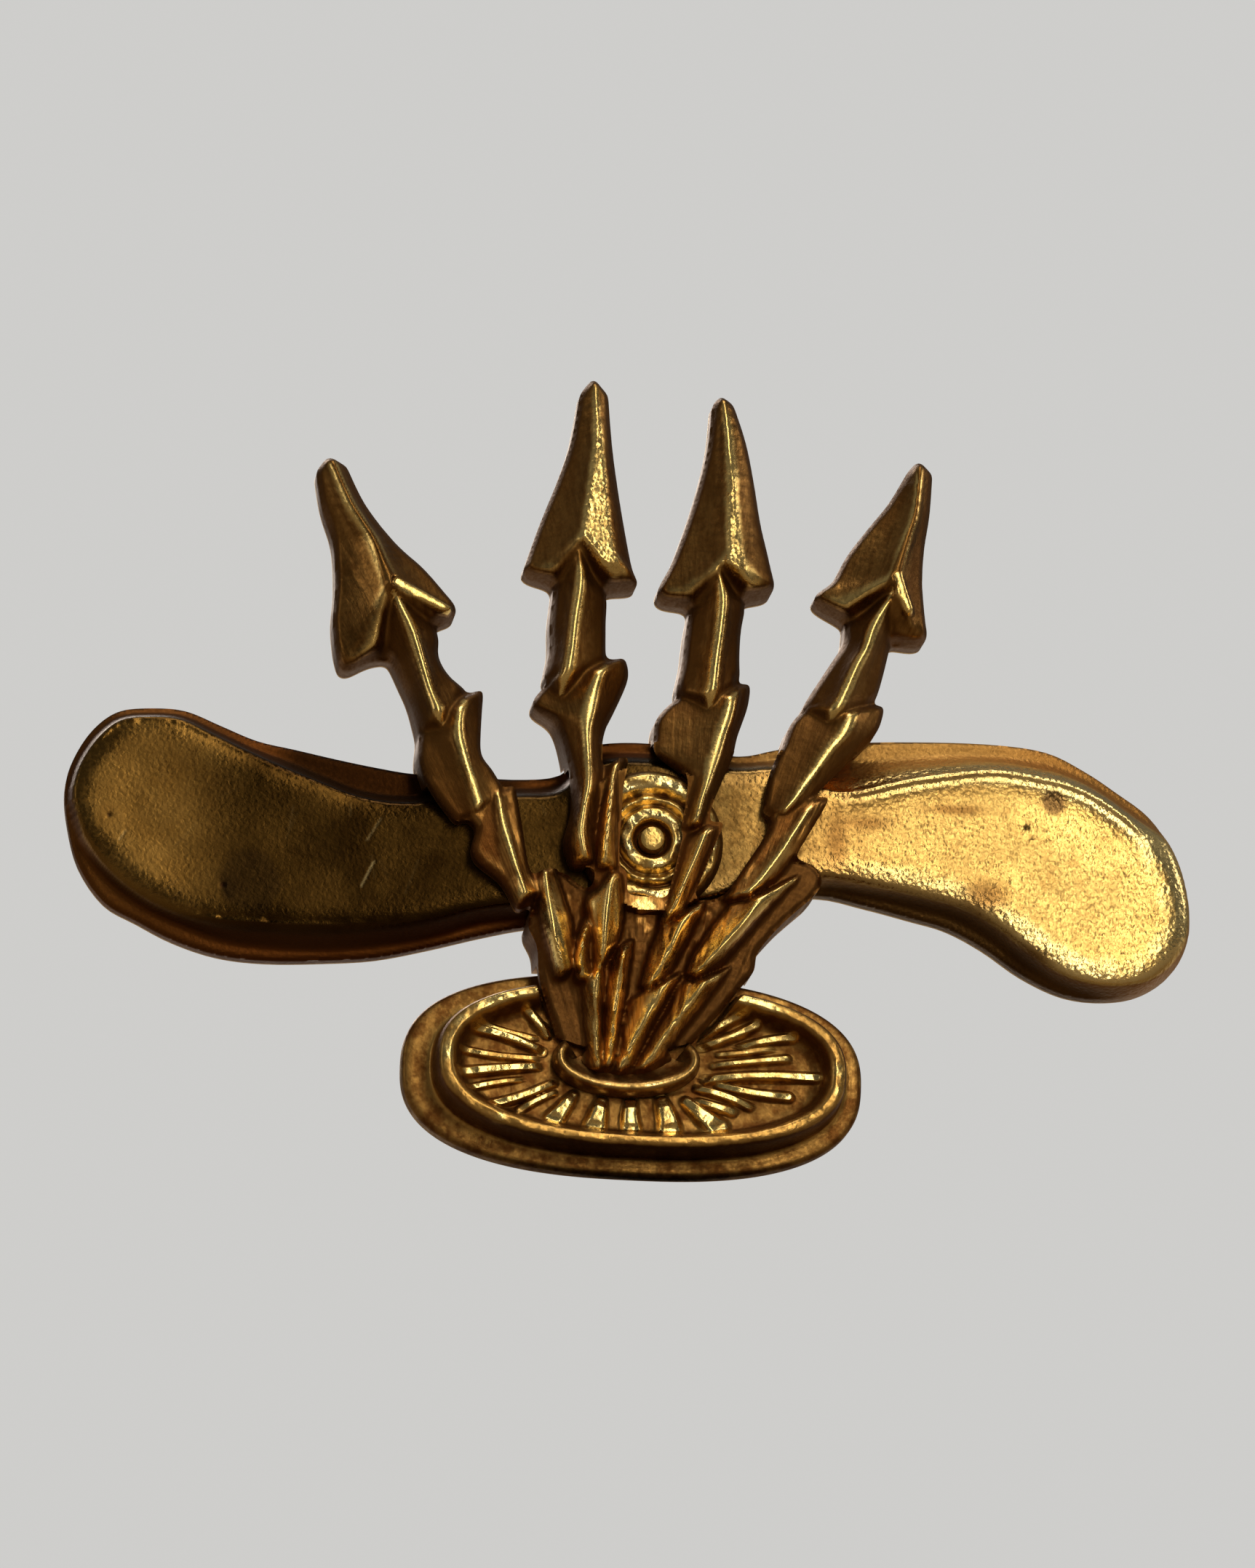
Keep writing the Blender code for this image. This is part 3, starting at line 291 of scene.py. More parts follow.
# Ribs of the dish: across and down of the inner end, then of the outer end, the widths there
# in steps, and how far the rib stands up (1 is full height).
RIB_LINES = (
    (752, 1414, 722, 1380, 14, 15, 0.9), (733, 1419, 652, 1396, 10, 11, 0.6),
    (745, 1437, 650, 1405, 13, 15, 1.0), (737, 1446, 634, 1433, 10, 12, 0.6),
    (738, 1457, 630, 1465, 13, 17, 1.0), (712, 1475, 642, 1487, 9, 12, 0.7),
    (760, 1479, 676, 1508, 13, 15, 1.0), (760, 1493, 714, 1516, 10, 13, 0.7),
    (787, 1496, 758, 1531, 15, 30, 1.0), (825, 1504, 815, 1541, 18, 34, 1.0),
    (865, 1505, 866, 1546, 20, 28, 1.0), (907, 1504, 918, 1547, 20, 36, 1.0),
    (941, 1506, 984, 1542, 16, 34, 1.0), (958, 1505, 1003, 1519, 10, 16, 0.7),
    (955, 1488, 1026, 1513, 12, 13, 0.9), (985, 1484, 1080, 1500, 12, 16, 0.9),
    (967, 1476, 1118, 1475, 14, 16, 1.0), (978, 1457, 1078, 1448, 10, 13, 0.7),
    (985, 1442, 1055, 1434, 9, 11, 0.5), (1018, 1432, 1086, 1421, 12, 15, 0.9),
    (962, 1432, 1036, 1403, 13, 15, 1.0), (955, 1421, 1020, 1387, 13, 16, 1.0),
    (972, 1408, 1003, 1381, 12, 14, 0.7),
)

# Dish, from the back's rim over the bead to the middle of the floor: half width, half height,
# height above the back, and share of RIBS_SHIFT.
DISH_RINGS = (
    (5.80, 2.57, 0.00, 0.0), (5.80, 2.57, 0.16, 0.0), (5.80, 2.57, 0.32, 0.0),
    (5.79, 2.56, 0.44, 0.0), (5.73, 2.51, 0.53, 0.0), (5.58, 2.41, 0.56, 0.0),
    (5.38, 2.28, 0.56, 0.0), (5.21, 2.17, 0.61, 0.0), (5.17, 2.14, 0.80, 0.0),
    (5.15, 2.12, 1.18, 0.0), (5.14, 2.11, 1.50, 0.0), (5.11, 2.09, 1.70, 0.0),
    (5.06, 2.05, 1.82, 0.0), (4.99, 2.00, 1.87, 0.0), (4.90, 1.93, 1.885, 0.0),
    (4.81, 1.86, 1.865, 0.0), (4.72, 1.79, 1.77, 0.0), (4.64, 1.72, 1.58, 0.0),
    (4.57, 1.66, 1.36, 0.0), (4.48, 1.60, 1.22, 0.0), (4.32, 1.50, 1.155, 0.05),
    (4.13, 1.38, 1.14, 0.1), (3.90, 1.28, 1.13, 0.25), (3.30, 1.16, 1.13, 0.55),
    (2.70, 1.06, 1.13, 0.8), (2.30, 0.97, 1.13, 1.0), (2.12, 0.92, 1.12, 1.0),
    (1.95, 0.86, 1.11, 1.0), (1.40, 0.62, 1.11, 1.0), (0.70, 0.31, 1.11, 1.0),
)

# Collar's section, from its inner side outward: distance from the lip's line, rise.
COLLAR_LIP = 0.565
COLLAR_SECTION = (
    (-0.62, 0.0), (-0.61, 0.16), (-0.48, 0.19), (-0.34, 0.26), (-0.22, 0.36),
    (-0.13, 0.46), (-0.06, 0.53), (0.0, COLLAR_LIP), (0.06, 0.56), (0.11, 0.52),
    (0.15, 0.43), (0.17, 0.30), (0.19, 0.14), (0.20, 0.0),
)

# Top of the hub boss: radius, depth below HUB_TOP.
HUB_RINGS = (
    (0.36, 0.34), (0.43, 0.27), (0.50, 0.07), (0.57, 0.01), (0.68, 0.01), (0.78, 0.06),
    (0.88, 0.21), (0.95, 0.17), (1.03, 0.08), (1.10, 0.12), (1.19, 0.24), (1.27, 0.14),
    (1.35, 0.04), (1.45, 0.02), (1.57, 0.03), (1.66, 0.08), (1.74, 0.22),
)


# ---- curves and fields ---------------------------------------------------------------------
def height_at(down, column):
    """The bolts' RIDGE or EDGE height at some steps down."""
    return np.interp(down, HEIGHTS[:, 0], HEIGHTS[:, column])


def smooth_curve(points, steps, closed=True):
    """Catmull-Rom through points of any number of columns, with steps to a span."""
    points = np.asarray(points, float)
    count = len(points)
    out = []
    for i in range(count if closed else count - 1):
        if closed:
            picks = i - 1, i, (i + 1) % count, (i + 2) % count
        else:
            picks = max(i - 1, 0), i, i + 1, min(i + 2, count - 1)
        before, start, end, after = (points[k] for k in picks)
        for s in range(steps):
            t = s / steps
            out.append(
                0.5
                * (
                    2 * start
                    + (end - before) * t
                    + (2 * before - 5 * start + 4 * end - after) * t * t
                    + (3 * start - before - 3 * end + after) * t**3
                )
            )
    if not closed:
        out.append(points[-1])
    return np.array(out)


def propeller_outline(part, height, steps):
    points = [place(row[part], row[part + 1], height) for row in PROPELLER]
    return smooth_curve(points, steps)


def web_outline():
    return smooth_curve([place(*point, WEB) for point in WEB_OUTLINE], 3)


def polygon_distance(polygon, x, z):
    """Distance to a closed polygon, negative inside."""
    best = np.full(x.shape, 1e9)
    inside = np.zeros(x.shape, bool)
    for start, end in zip(polygon, np.roll(polygon, -1, axis=0)):
        side_x, side_z = end - start
        length = side_x * side_x + side_z * side_z
        if length < 1e-12:
            continue
        t = np.clip(((x - start[0]) * side_x + (z - start[1]) * side_z) / length, 0, 1)
        off_x, off_z = x - start[0] - t * side_x, z - start[1] - t * side_z
        best = np.minimum(best, off_x * off_x + off_z * off_z)
        if side_z != 0:
            crossed = (z >= min(start[1], end[1])) & (z < max(start[1], end[1]))
            inside ^= crossed & (x < start[0] + (z - start[1]) * side_x / side_z)
    return np.where(inside, -np.sqrt(best), np.sqrt(best))


def signed_distance(polygon, x, z, margin=0.7):
    """polygon_distance on a grid, worked out near the polygon only and never above margin."""
    polygon = np.asarray(polygon, float)
    out = np.full(x.shape, margin)
    low, high = polygon.min(0) - margin, polygon.max(0) + margin
    left, right = np.searchsorted(x[0], (low[0], high[0]))
    bottom, top = np.searchsorted(z[:, 0], (low[1], high[1]))
    if right <= left or top <= bottom:
        return out
    window = (slice(bottom, top), slice(left, right))
    out[window] = np.minimum(polygon_distance(polygon, x[window], z[window]), margin)
    return out


def line_distance(x, z, points):
    """Distance to an open line of points."""
    best = np.full(x.shape, 1e9)
    for start, end in zip(points, points[1:]):
        side_x, side_z = end[0] - start[0], end[1] - start[1]
        length = max(side_x * side_x + side_z * side_z, 1e-9)
        t = np.clip(((x - start[0]) * side_x + (z - start[1]) * side_z) / length, 0, 1)
        best = np.minimum(best, np.hypot(x - start[0] - t * side_x, z - start[1] - t * side_z))
    return best


def soft_min(first, second, width):
    share = np.clip(0.5 + 0.5 * (second - first) / width, 0, 1)
    return second + (first - second) * share - width * share * (1 - share)


def ease(value, start, end):
    """0 at start and 1 at end, smooth between. Start may be the larger one."""
    t = np.clip((value - start) / (end - start), 0, 1)
    return t * t * (3 - 2 * t)


def bell(value, centre, width):
    return np.exp(-(((value - centre) / width) ** 2))


def noise(x, z, size, seed):
    """Smooth value noise from -1 to 1, with features of the given size."""
    table = np.random.default_rng(seed).uniform(-1, 1, (64, 64))
    x, z = x / size, z / size
    column, row = np.floor(x).astype(int), np.floor(z).astype(int)
    x, z = x - column, z - row
    x, z = x * x * (3 - 2 * x), z * z * (3 - 2 * z)

    def corner(i, j):
        return table[j % 64, i % 64]

    first = corner(column, row) * (1 - x) + corner(column + 1, row) * x
    second = corner(column, row + 1) * (1 - x) + corner(column + 1, row + 1) * x
    return first * (1 - z) + second * z


def grain(x, z, size, seed):
    """Orange-peel: two octaves of noise on turned axes."""
    coarse = noise(x * 0.86 + z * 0.5, z * 0.86 - x * 0.5, size, seed)
    fine = noise(x * 0.34 - z * 0.94, z * 0.34 + x * 0.94, size * 0.55, seed + 1)
    return 0.65 * coarse + 0.35 * fine


def blur(field, mask, sigma):
    """Gaussian blur, sigma in cells, that takes in only the cells of the mask."""
    reach = max(1, int(math.ceil(sigma * 3)))
    kernel = np.exp(-0.5 * (np.arange(-reach, reach + 1) / sigma) ** 2)
    kernel /= kernel.sum()

    def along(values, axis):
        pad = [(reach, reach) if i == axis else (0, 0) for i in (0, 1)]
        padded = np.pad(values, pad)
        count = values.shape[axis]
        return sum(
            kernel[i] * np.take(padded, range(i, i + count), axis) for i in range(2 * reach + 1)
        )

    total, weight = np.where(mask, field, 0.0), mask.astype(float)
    for axis in (0, 1):
        total, weight = along(total, axis), along(weight, axis)
    return np.where(weight > 1e-6, total / np.maximum(weight, 1e-6), field)


def make_grid(low, high, cell):
    return np.meshgrid(
        np.arange(low[0], high[0] + cell, cell), np.arange(low[1], high[1] + cell, cell)
    )


def sample(field, grid_x, grid_z, x, z):
    """Bilinear value of a grid's field at free points."""
    cell = grid_x[0, 1] - grid_x[0, 0]
    x = np.clip((x - grid_x[0, 0]) / cell, 0, field.shape[1] - 1.001)
    z = np.clip((z - grid_z[0, 0]) / cell, 0, field.shape[0] - 1.001)
    i, j = x.astype(int), z.astype(int)
    x, z = x - i, z - j
    first = field[j, i] * (1 - x) + field[j, i + 1] * x
    return first * (1 - z) + (field[j + 1, i] * (1 - x) + field[j + 1, i + 1] * x) * z


def cavity(height, mask, near, far, scale):
    """Above 0 in recesses and below 0 on crests, roughly -1 to 1."""
    fine, broad = blur(height, mask, near), blur(height, mask, far)
    return np.clip(((broad - fine) + 0.6 * (fine - height)) / scale, -1.5, 1.5)


# ---- meshes --------------------------------------------------------------------------------
def link(name, data):
    obj = bpy.data.objects.new(name, data)
    bpy.context.scene.collection.objects.link(obj)
    return obj


def add_field(mesh, name, values):
    layer = mesh.attributes.new(name, "FLOAT", "POINT")
    layer.data.foreach_set("value", np.ascontiguousarray(values, np.float32))


def turn_outward(mesh, weld=0.0, fill=False):
    """Faces turned outward, after welding close vertices or filling the open back if asked."""
    edit = bmesh.new()
    edit.from_mesh(mesh)
    if weld:
        bmesh.ops.remove_doubles(edit, verts=edit.verts, dist=weld)
    if fill:
        edges = [e for e in edit.edges if e.is_boundary]
        bmesh.ops.triangle_fill(edit, edges=edges, use_beauty=True, use_dissolve=False)
    bmesh.ops.recalc_face_normals(edit, faces=edit.faces)
    edit.to_mesh(mesh)
    edit.free()


def smooth_mesh(name, points, faces, material):
    """A smooth-shaded mesh from points in millimetres."""
    mesh = bpy.data.meshes.new(name)
    mesh.from_pydata([tuple(p) for p in np.asarray(points) * MM], [], [tuple(f) for f in faces])
    mesh.update()
    mesh.materials.append(material)
    mesh.shade_smooth()
    return mesh


def swept_object(name, points, faces, material, cavities):
    mesh = smooth_mesh(name, points, faces, material)
    add_field(mesh, "cav", cavities)
    mesh.set_sharp_from_angle(angle=math.radians(60.0))
    turn_outward(mesh)
    return link(name, mesh)


def filled_cells(outside, cell):
    """The grid's cells inside the outline, with no corner-only contacts to pinch the mesh."""
    near = outside < 0.45 * cell
    filled = near[:-1, :-1] & near[1:, :-1] & near[:-1, 1:] & near[1:, 1:]
    for _ in range(3):
        pad = np.pad(filled, 1).astype(int)
        filled &= pad[:-2, 1:-1] + pad[2:, 1:-1] + pad[1:-1, :-2] + pad[1:-1, 2:] >= 2
    pad = np.pad(filled, 1)
    pinched = ~pad[:-1, :-1] & ~pad[1:, 1:] & pad[1:, :-1] & pad[:-1, 1:]
    pinched |= pad[:-1, :-1] & pad[1:, 1:] & ~pad[1:, :-1] & ~pad[:-1, 1:]
    for j, i in np.argwhere(pinched):
        for row, column in ((j - 1, i - 1), (j, i), (j - 1, i), (j, i - 1)):
            if 0 <= row < filled.shape[0] and 0 <= column < filled.shape[1]:
                filled[row, column] = True
    return filled


def slide_rim(x, z, rim, rim_verts, outside, grid_x, grid_z, used):
    """Moves the rim's vertices onto the outline and smooths them lightly along it."""
    cell = grid_x[0, 1] - grid_x[0, 0]
    slope_x = np.gradient(outside, cell, axis=1)[used][rim_verts]
    slope_z = np.gradient(outside, cell, axis=0)[used][rim_verts]
    size = np.maximum(np.hypot(slope_x, slope_z), 0.2)
    for _ in range(3):
        here = sample(outside, grid_x, grid_z, x[rim_verts], z[rim_verts])
        move = np.clip(here / size, -0.6 * cell, 0.6 * cell)
        x[rim_verts] -= 0.8 * move * slope_x / size
        z[rim_verts] -= 0.8 * move * slope_z / size
    after, before = np.full(len(x), -1), np.full(len(x), -1)
    after[rim[:, 0]] = rim[:, 1]
    before[rim[:, 1]] = rim[:, 0]
    inner = rim_verts[(after[rim_verts] >= 0) & (before[rim_verts] >= 0)]
    for _ in range(2):
        for values in (x, z):
            ends = values[after[inner]] + values[before[inner]]
            values[inner] = 0.5 * values[inner] + 0.25 * ends


def relief(name, grid_x, grid_z, top, outside, material, fields, bottom=None):
    """A closed struck piece: its top on the grid, its outline where outside is zero, its walls
    and its back, which is flat unless a bottom is given."""
    filled = filled_cells(outside, grid_x[0, 1] - grid_x[0, 0])
    pad = np.pad(filled, 1)
    used = pad[:-1, :-1] | pad[1:, :-1] | pad[:-1, 1:] | pad[1:, 1:]
    count = total = used.sum()
    index = np.full(grid_x.shape, -1)
    index[used] = np.arange(count)
    j, i = np.nonzero(filled)
    # seen from -Y these run counter-clockwise
    faces = np.stack([index[j, i], index[j, i + 1], index[j + 1, i + 1], index[j + 1, i]], 1)
    edges = np.concatenate([faces[:, [k, (k + 1) % 4]] for k in range(4)])
    key = np.sort(edges, 1)
    key = key[:, 0] * (count + 1) + key[:, 1]
    _, first, uses = np.unique(key, return_index=True, return_counts=True)
    rim = edges[first[uses == 1]]
    rim_verts = np.unique(rim)
    x, z = grid_x[used].copy(), grid_z[used].copy()
    slide_rim(x, z, rim, rim_verts, outside, grid_x, grid_z, used)

    height = sample(top, grid_x, grid_z, x, z)
    base = np.zeros(count) if bottom is None else sample(bottom, grid_x, grid_z, x, z)
    points = [np.stack([x, -height, z], 1)]
    columns = {k: [sample(field, grid_x, grid_z, x, z)] for k, field in fields.items()}
    all_faces = [faces]
    upper = np.arange(count)
    for row in range(1, WALL_ROWS + 1):
        # with a shaped bottom the last row is the whole underside
        underside = row == WALL_ROWS and bottom is not None
        members = np.arange(count) if underside else rim_verts
        lower = np.full(count, -1)
        lower[members] = total + np.arange(len(members))
        total += len(members)
        share = row / WALL_ROWS
        level = height[members] * (1 - share) + base[members] * share
        points.append(np.stack([x[members], -level, z[members]], 1))
        for parts in columns.values():
            parts.append(np.zeros(count) if underside else parts[0][members])
        if underside:
            all_faces.insert(1, lower[faces[:, ::-1]])
        start, end = rim[:, 0], rim[:, 1]
        all_faces.append(np.stack([upper[end], upper[start], lower[start], lower[end]], 1))
        upper = lower

    points, faces = np.concatenate(points) * MM, np.concatenate(all_faces)
    mesh = bpy.data.meshes.new(name)
    mesh.vertices.add(len(points))
    mesh.vertices.foreach_set("co", points.astype(np.float32).ravel())
    mesh.loops.add(faces.size)
    mesh.loops.foreach_set("vertex_index", faces.astype(np.int32).ravel())
    mesh.polygons.add(len(faces))
    mesh.polygons.foreach_set("loop_start", np.arange(0, faces.size, 4, dtype=np.int32))
    mesh.update(calc_edges=True)
    mesh.validate()
    for field, parts in columns.items():
        add_field(mesh, field, np.concatenate(parts))
    if bottom is None:
        turn_outward(mesh, fill=True)
    mesh.materials.append(material)
    mesh.shade_smooth()
    mesh.set_sharp_from_angle(angle=math.radians(60.0))
    return link(name, mesh)


def lathe_on_hub(name, profile, steps, material, closed=False, ripple=None):
    """A (radius, height) profile turned about the hub's axis."""
    count = len(profile)
    points, faces = [], []
    for s in range(steps):
        turn = 2 * math.pi * s / steps
        for radius, height in profile:
            rise = ripple(radius, turn) if ripple else 0.0
            points.append((radius * math.cos(turn), radius * math.sin(turn), height + rise))
        following = (s + 1) % steps
        for k in range(count if closed else count - 1):
            m = (k + 1) % count
            here, there = s * count, following * count
            faces.append((here + k, there + k, there + m, here + m))
    mesh = smooth_mesh(name, points, faces, material)
    turn_outward(mesh, weld=2e-8)
    mesh.shade_smooth()
    mesh.set_sharp_from_angle(angle=math.radians(40.0))
    mesh.transform(Matrix.Rotation(math.radians(90.0), 4, "X"))
    mesh.transform(Matrix.Translation((HUB_X * MM, 0.0, HUB_Z * MM)))
    return link(name, mesh)


# ---- materials -----------------------------------------------------------------------------
BROWN = (0.13, 0.040, 0.008)  # old polish in the recesses, also laid on as painted shade


class Surface:
    """A material under construction: its colour, roughness and normal are built up in turn."""

    def __init__(self, name):
        self.material = bpy.data.materials.new(name)
        self.material.use_nodes = True
        self.tree = self.material.node_tree
        self.shader = self.tree.nodes["Principled BSDF"]
        self.coords = self.node("TexCoord").outputs["Object"]
        self.colour = self.roughness = self.normal = None

    def node(self, kind):
        return self.tree.nodes.new("ShaderNode" + kind)

    def connect(self, source, socket):
        """Source is a number, a colour or another node's output."""
        if isinstance(source, (int, float)):
            socket.default_value = source
        elif isinstance(source, tuple):
            socket.default_value = (*source, 1.0)
        else:
            self.tree.links.new(source, socket)

    def math(self, operation, first, second):
        node = self.node("Math")
        node.operation = operation
        self.connect(first, node.inputs[0])
        self.connect(second, node.inputs[1])
        return node.outputs[0]

    def plus(self, first, second):
        return self.math("ADD", first, second)

    def minus(self, first, second):
        return self.math("SUBTRACT", first, second)

    def times(self, first, second):
        return self.math("MULTIPLY", first, second)

    def ramp(self, value, start, end, low=0.0, high=1.0):
        node = self.node("MapRange")
        node.interpolation_type = "SMOOTHSTEP"
        for i, source in enumerate((value, start, end, low, high)):
            self.connect(source, node.inputs[i])
        return node.outputs[0]

    def noise(self, scale, detail=3.0, rough=0.6, vector=None, distortion=0.0):
        node = self.node("TexNoise")
        self.connect(self.coords if vector is None else vector, node.inputs["Vector"])
        node.inputs["Scale"].default_value = scale
        node.inputs["Detail"].default_value = detail
        node.inputs["Roughness"].default_value = rough
        node.inputs["Distortion"].default_value = distortion
        return node.outputs["Fac"]

    def cells(self, scale):
        node = self.node("TexVoronoi")
        node.feature = "F1"
        self.connect(self.coords, node.inputs["Vector"])
        node.inputs["Scale"].default_value = scale
        return node.outputs["Distance"]

    def brush_lines(self, scale):
        """Noise drawn out by a scale for each axis."""
        node = self.node("Mapping")
        self.connect(self.coords, node.inputs["Vector"])
        node.inputs["Scale"].default_value = scale
        return self.noise(1.0, detail=2.0, vector=node.outputs["Vector"])

    def field(self, name):
        node = self.node("Attribute")
        node.attribute_name = name
        return node.outputs["Fac"]

    def mix(self, share, first, second):
        node = self.node("Mix")
        node.data_type, node.blend_type = "RGBA", "MIX"
        for i, source in ((0, share), (6, first), (7, second)):
            self.connect(source, node.inputs[i])
        return node.outputs[2]

    def tint(self, share, colour):
        self.colour = self.mix(share, self.colour, colour)

    def bump(self, height, strength, distance=0.00003):
        node = self.node("Bump")
        node.inputs["Strength"].default_value = strength
        node.inputs["Distance"].default_value = distance
        self.connect(height, node.inputs["Height"])
        if self.normal is not None:
            self.connect(self.normal, node.inputs["Normal"])
        self.normal = node.outputs["Normal"]

    def axis(self, letter):
        node = self.node("SeparateXYZ")
        self.connect(self.coords, node.inputs[0])
        return node.outputs["XYZ".index(letter)]

    def tint_back(self):
        """The flat back is a plain brass with cloudy patches."""
        behind = self.ramp(self.axis("Y"), start=-0.00015, end=-0.00003)
        cloudy = self.ramp(self.noise(260.0, detail=4.0), start=0.35, end=0.68)
        self.tint(behind, self.mix(cloudy, (0.66, 0.43, 0.15), (0.46, 0.27, 0.085)))

    def finish(self, metallic=1.0):
        self.connect(self.colour, self.shader.inputs["Base Color"])
        self.connect(self.roughness, self.shader.inputs["Roughness"])
        self.connect(metallic, self.shader.inputs["Metallic"])
        if self.normal is not None:
            self.connect(self.normal, self.shader.inputs["Normal"])
        return self.material


def gilt(name, base, bright, rough, polished, grain_scale, grain_bump,
         recess=BROWN, wear_and_painted_light=True, mottling=0.22):
    """Old gilt on brass: mottled, brown in the recesses and bright on the crests, with a struck
    grain. The brown and the bright follow the cav field, which holds patina and wear and also
    painted shade and painted highlights. Polished is the roughness of the crests."""
    gold = Surface(name)
    mottle = gold.noise(420.0, detail=4.0)
    fine = gold.noise(2600.0)
    speck = gold.noise(11000.0, detail=2.0, rough=0.5)
    dark = tuple(channel * (1 - mottling) for channel in base)
    gold.colour = gold.mix(gold.ramp(mottle, start=0.35, end=0.68), base, dark)
    gold.tint(gold.ramp(fine, start=0.44, end=0.78, high=0.40), recess)
    gold.roughness = rough
    for cloud in (mottle, speck):
        spread = gold.ramp(cloud, start=0.3, end=0.7, low=-0.05, high=0.06)
        gold.roughness = gold.plus(gold.roughness, spread)
    if wear_and_painted_light:
        uneven = gold.ramp(fine, start=0.3, end=0.7, low=-0.14, high=0.14)
        hollow = gold.plus(gold.field("cav"), uneven)
        # recesses go brown, as patina and painted shade, and crests go bright, as wear and painted
        # highlight
        deep = gold.ramp(hollow, start=0.10, end=0.72)
        crest = gold.ramp(hollow, start=-0.18, end=-0.85)
        gold.tint(gold.times(deep, 0.90), recess)
        gold.tint(gold.times(crest, 0.90), bright)
        gold.roughness = gold.plus(gold.roughness, gold.times(deep, 0.14))
        gold.roughness = gold.minus(gold.roughness, gold.times(crest, rough - polished))
    struck = gold.noise(grain_scale, detail=2.0, rough=0.45, distortion=0.3)
    gold.bump(struck, strength=grain_bump)
    return gold


def shaded_olive(gold):
    """The left blade's painted shade: a darker, patchy olive in place of its gilt."""
    patches = gold.ramp(gold.noise(900.0, detail=4.0), start=0.35, end=0.7)
    shaded_left_blade = gold.mix(patches, (0.27, 0.148, 0.035), (0.19, 0.096, 0.020))
    patches = gold.ramp(gold.noise(240.0), start=0.42, end=0.66)
    return gold.mix(patches, shaded_left_blade, (0.15, 0.078, 0.017))


def propeller_material():
    gold = gilt(
        "gilt_propeller", base=(0.93, 0.62, 0.19), recess=(0.45, 0.20, 0.045),
        bright=(1.0, 0.78, 0.34), rough=0.33, polished=0.22,
        grain_scale=9000.0, grain_bump=0.30, mottling=0.12,
    )
    # 0 on the left blade, which takes a painted shade, 1 on the bright right one
    side = gold.ramp(gold.axis("X"), start=-0.0004, end=0.0074)
    shaded_left_blade = shaded_olive(gold)
    # the middle, behind the bolts, is patchy
    middle = gold.times(
        gold.ramp(gold.axis("X"), start=-0.0020, end=0.0010),
        gold.ramp(gold.axis("X"), start=0.0068, end=0.0045),
    )
    patches = gold.ramp(gold.noise(3200.0), start=0.4, end=0.62)
    patchy = gold.mix(patches, (0.72, 0.42, 0.12), (0.40, 0.20, 0.05))
    gold.tint(gold.times(middle, 0.85), patchy)
    # painted shade: the right blade darkens beside the spray
    shade_beside_spray = gold.times(side, gold.ramp(gold.axis("X"), start=0.0112, end=0.0080))
    gold.tint(gold.times(shade_beside_spray, 0.5), (0.52, 0.31, 0.09))
    # the left blade darkens towards the hub
    inboard = gold.ramp(gold.axis("X"), start=-0.0122, end=-0.0094, high=0.94)
    patches = gold.ramp(gold.noise(520.0, detail=5.0, rough=0.65), start=0.38, end=0.66)
    darkest = gold.mix(patches, (0.013, 0.0056, 0.0011), (0.050, 0.025, 0.0052))
    shaded_left_blade = gold.mix(inboard, shaded_left_blade, darkest)
    shaded_left_blade = gold.mix(gold.times(gold.field("cav_deep"), 0.8), shaded_left_blade, BROWN)
    shaded_left_blade = gold.mix(gold.times(gold.field("wedge"), 0.9), shaded_left_blade, (0.022, 0.008, 0.002))
    # the painted shade goes on the left blade
    gold.tint(gold.minus(1.0, side), shaded_left_blade)
    # orange-peel, almost all of it on the right blade
    peel = gold.plus(gold.cells(8200.0), gold.noise(11000.0, detail=2.0, rough=0.5))
    gold.bump(gold.times(peel, gold.plus(gold.times(side, 0.94), 0.06)), strength=0.42)
    gold.tint(gold.times(gold.field("scratch"), 0.17), (0.95, 0.74, 0.36))
    # round heat marks, darker patches, painted shade along the lower wall, and small pits
    for field, stain_and_shade, amount in (
        ("mark_a", (0.022, 0.0115, 0.0040), 0.90), ("mark_b", (0.12, 0.055, 0.024), 0.85),
        ("dark_patch", (0.27, 0.135, 0.036), 0.90), ("below", (0.060, 0.027, 0.008), 0.88),
        ("pit", (0.03, 0.012, 0.005), 0.9),
    ):
        gold.tint(gold.times(gold.field(field), amount), stain_and_shade)
    gold.roughness = gold.plus(gold.roughness, gold.times(gold.minus(1.0, side), 0.01))
    gold.tint_back()
    return gold.finish()


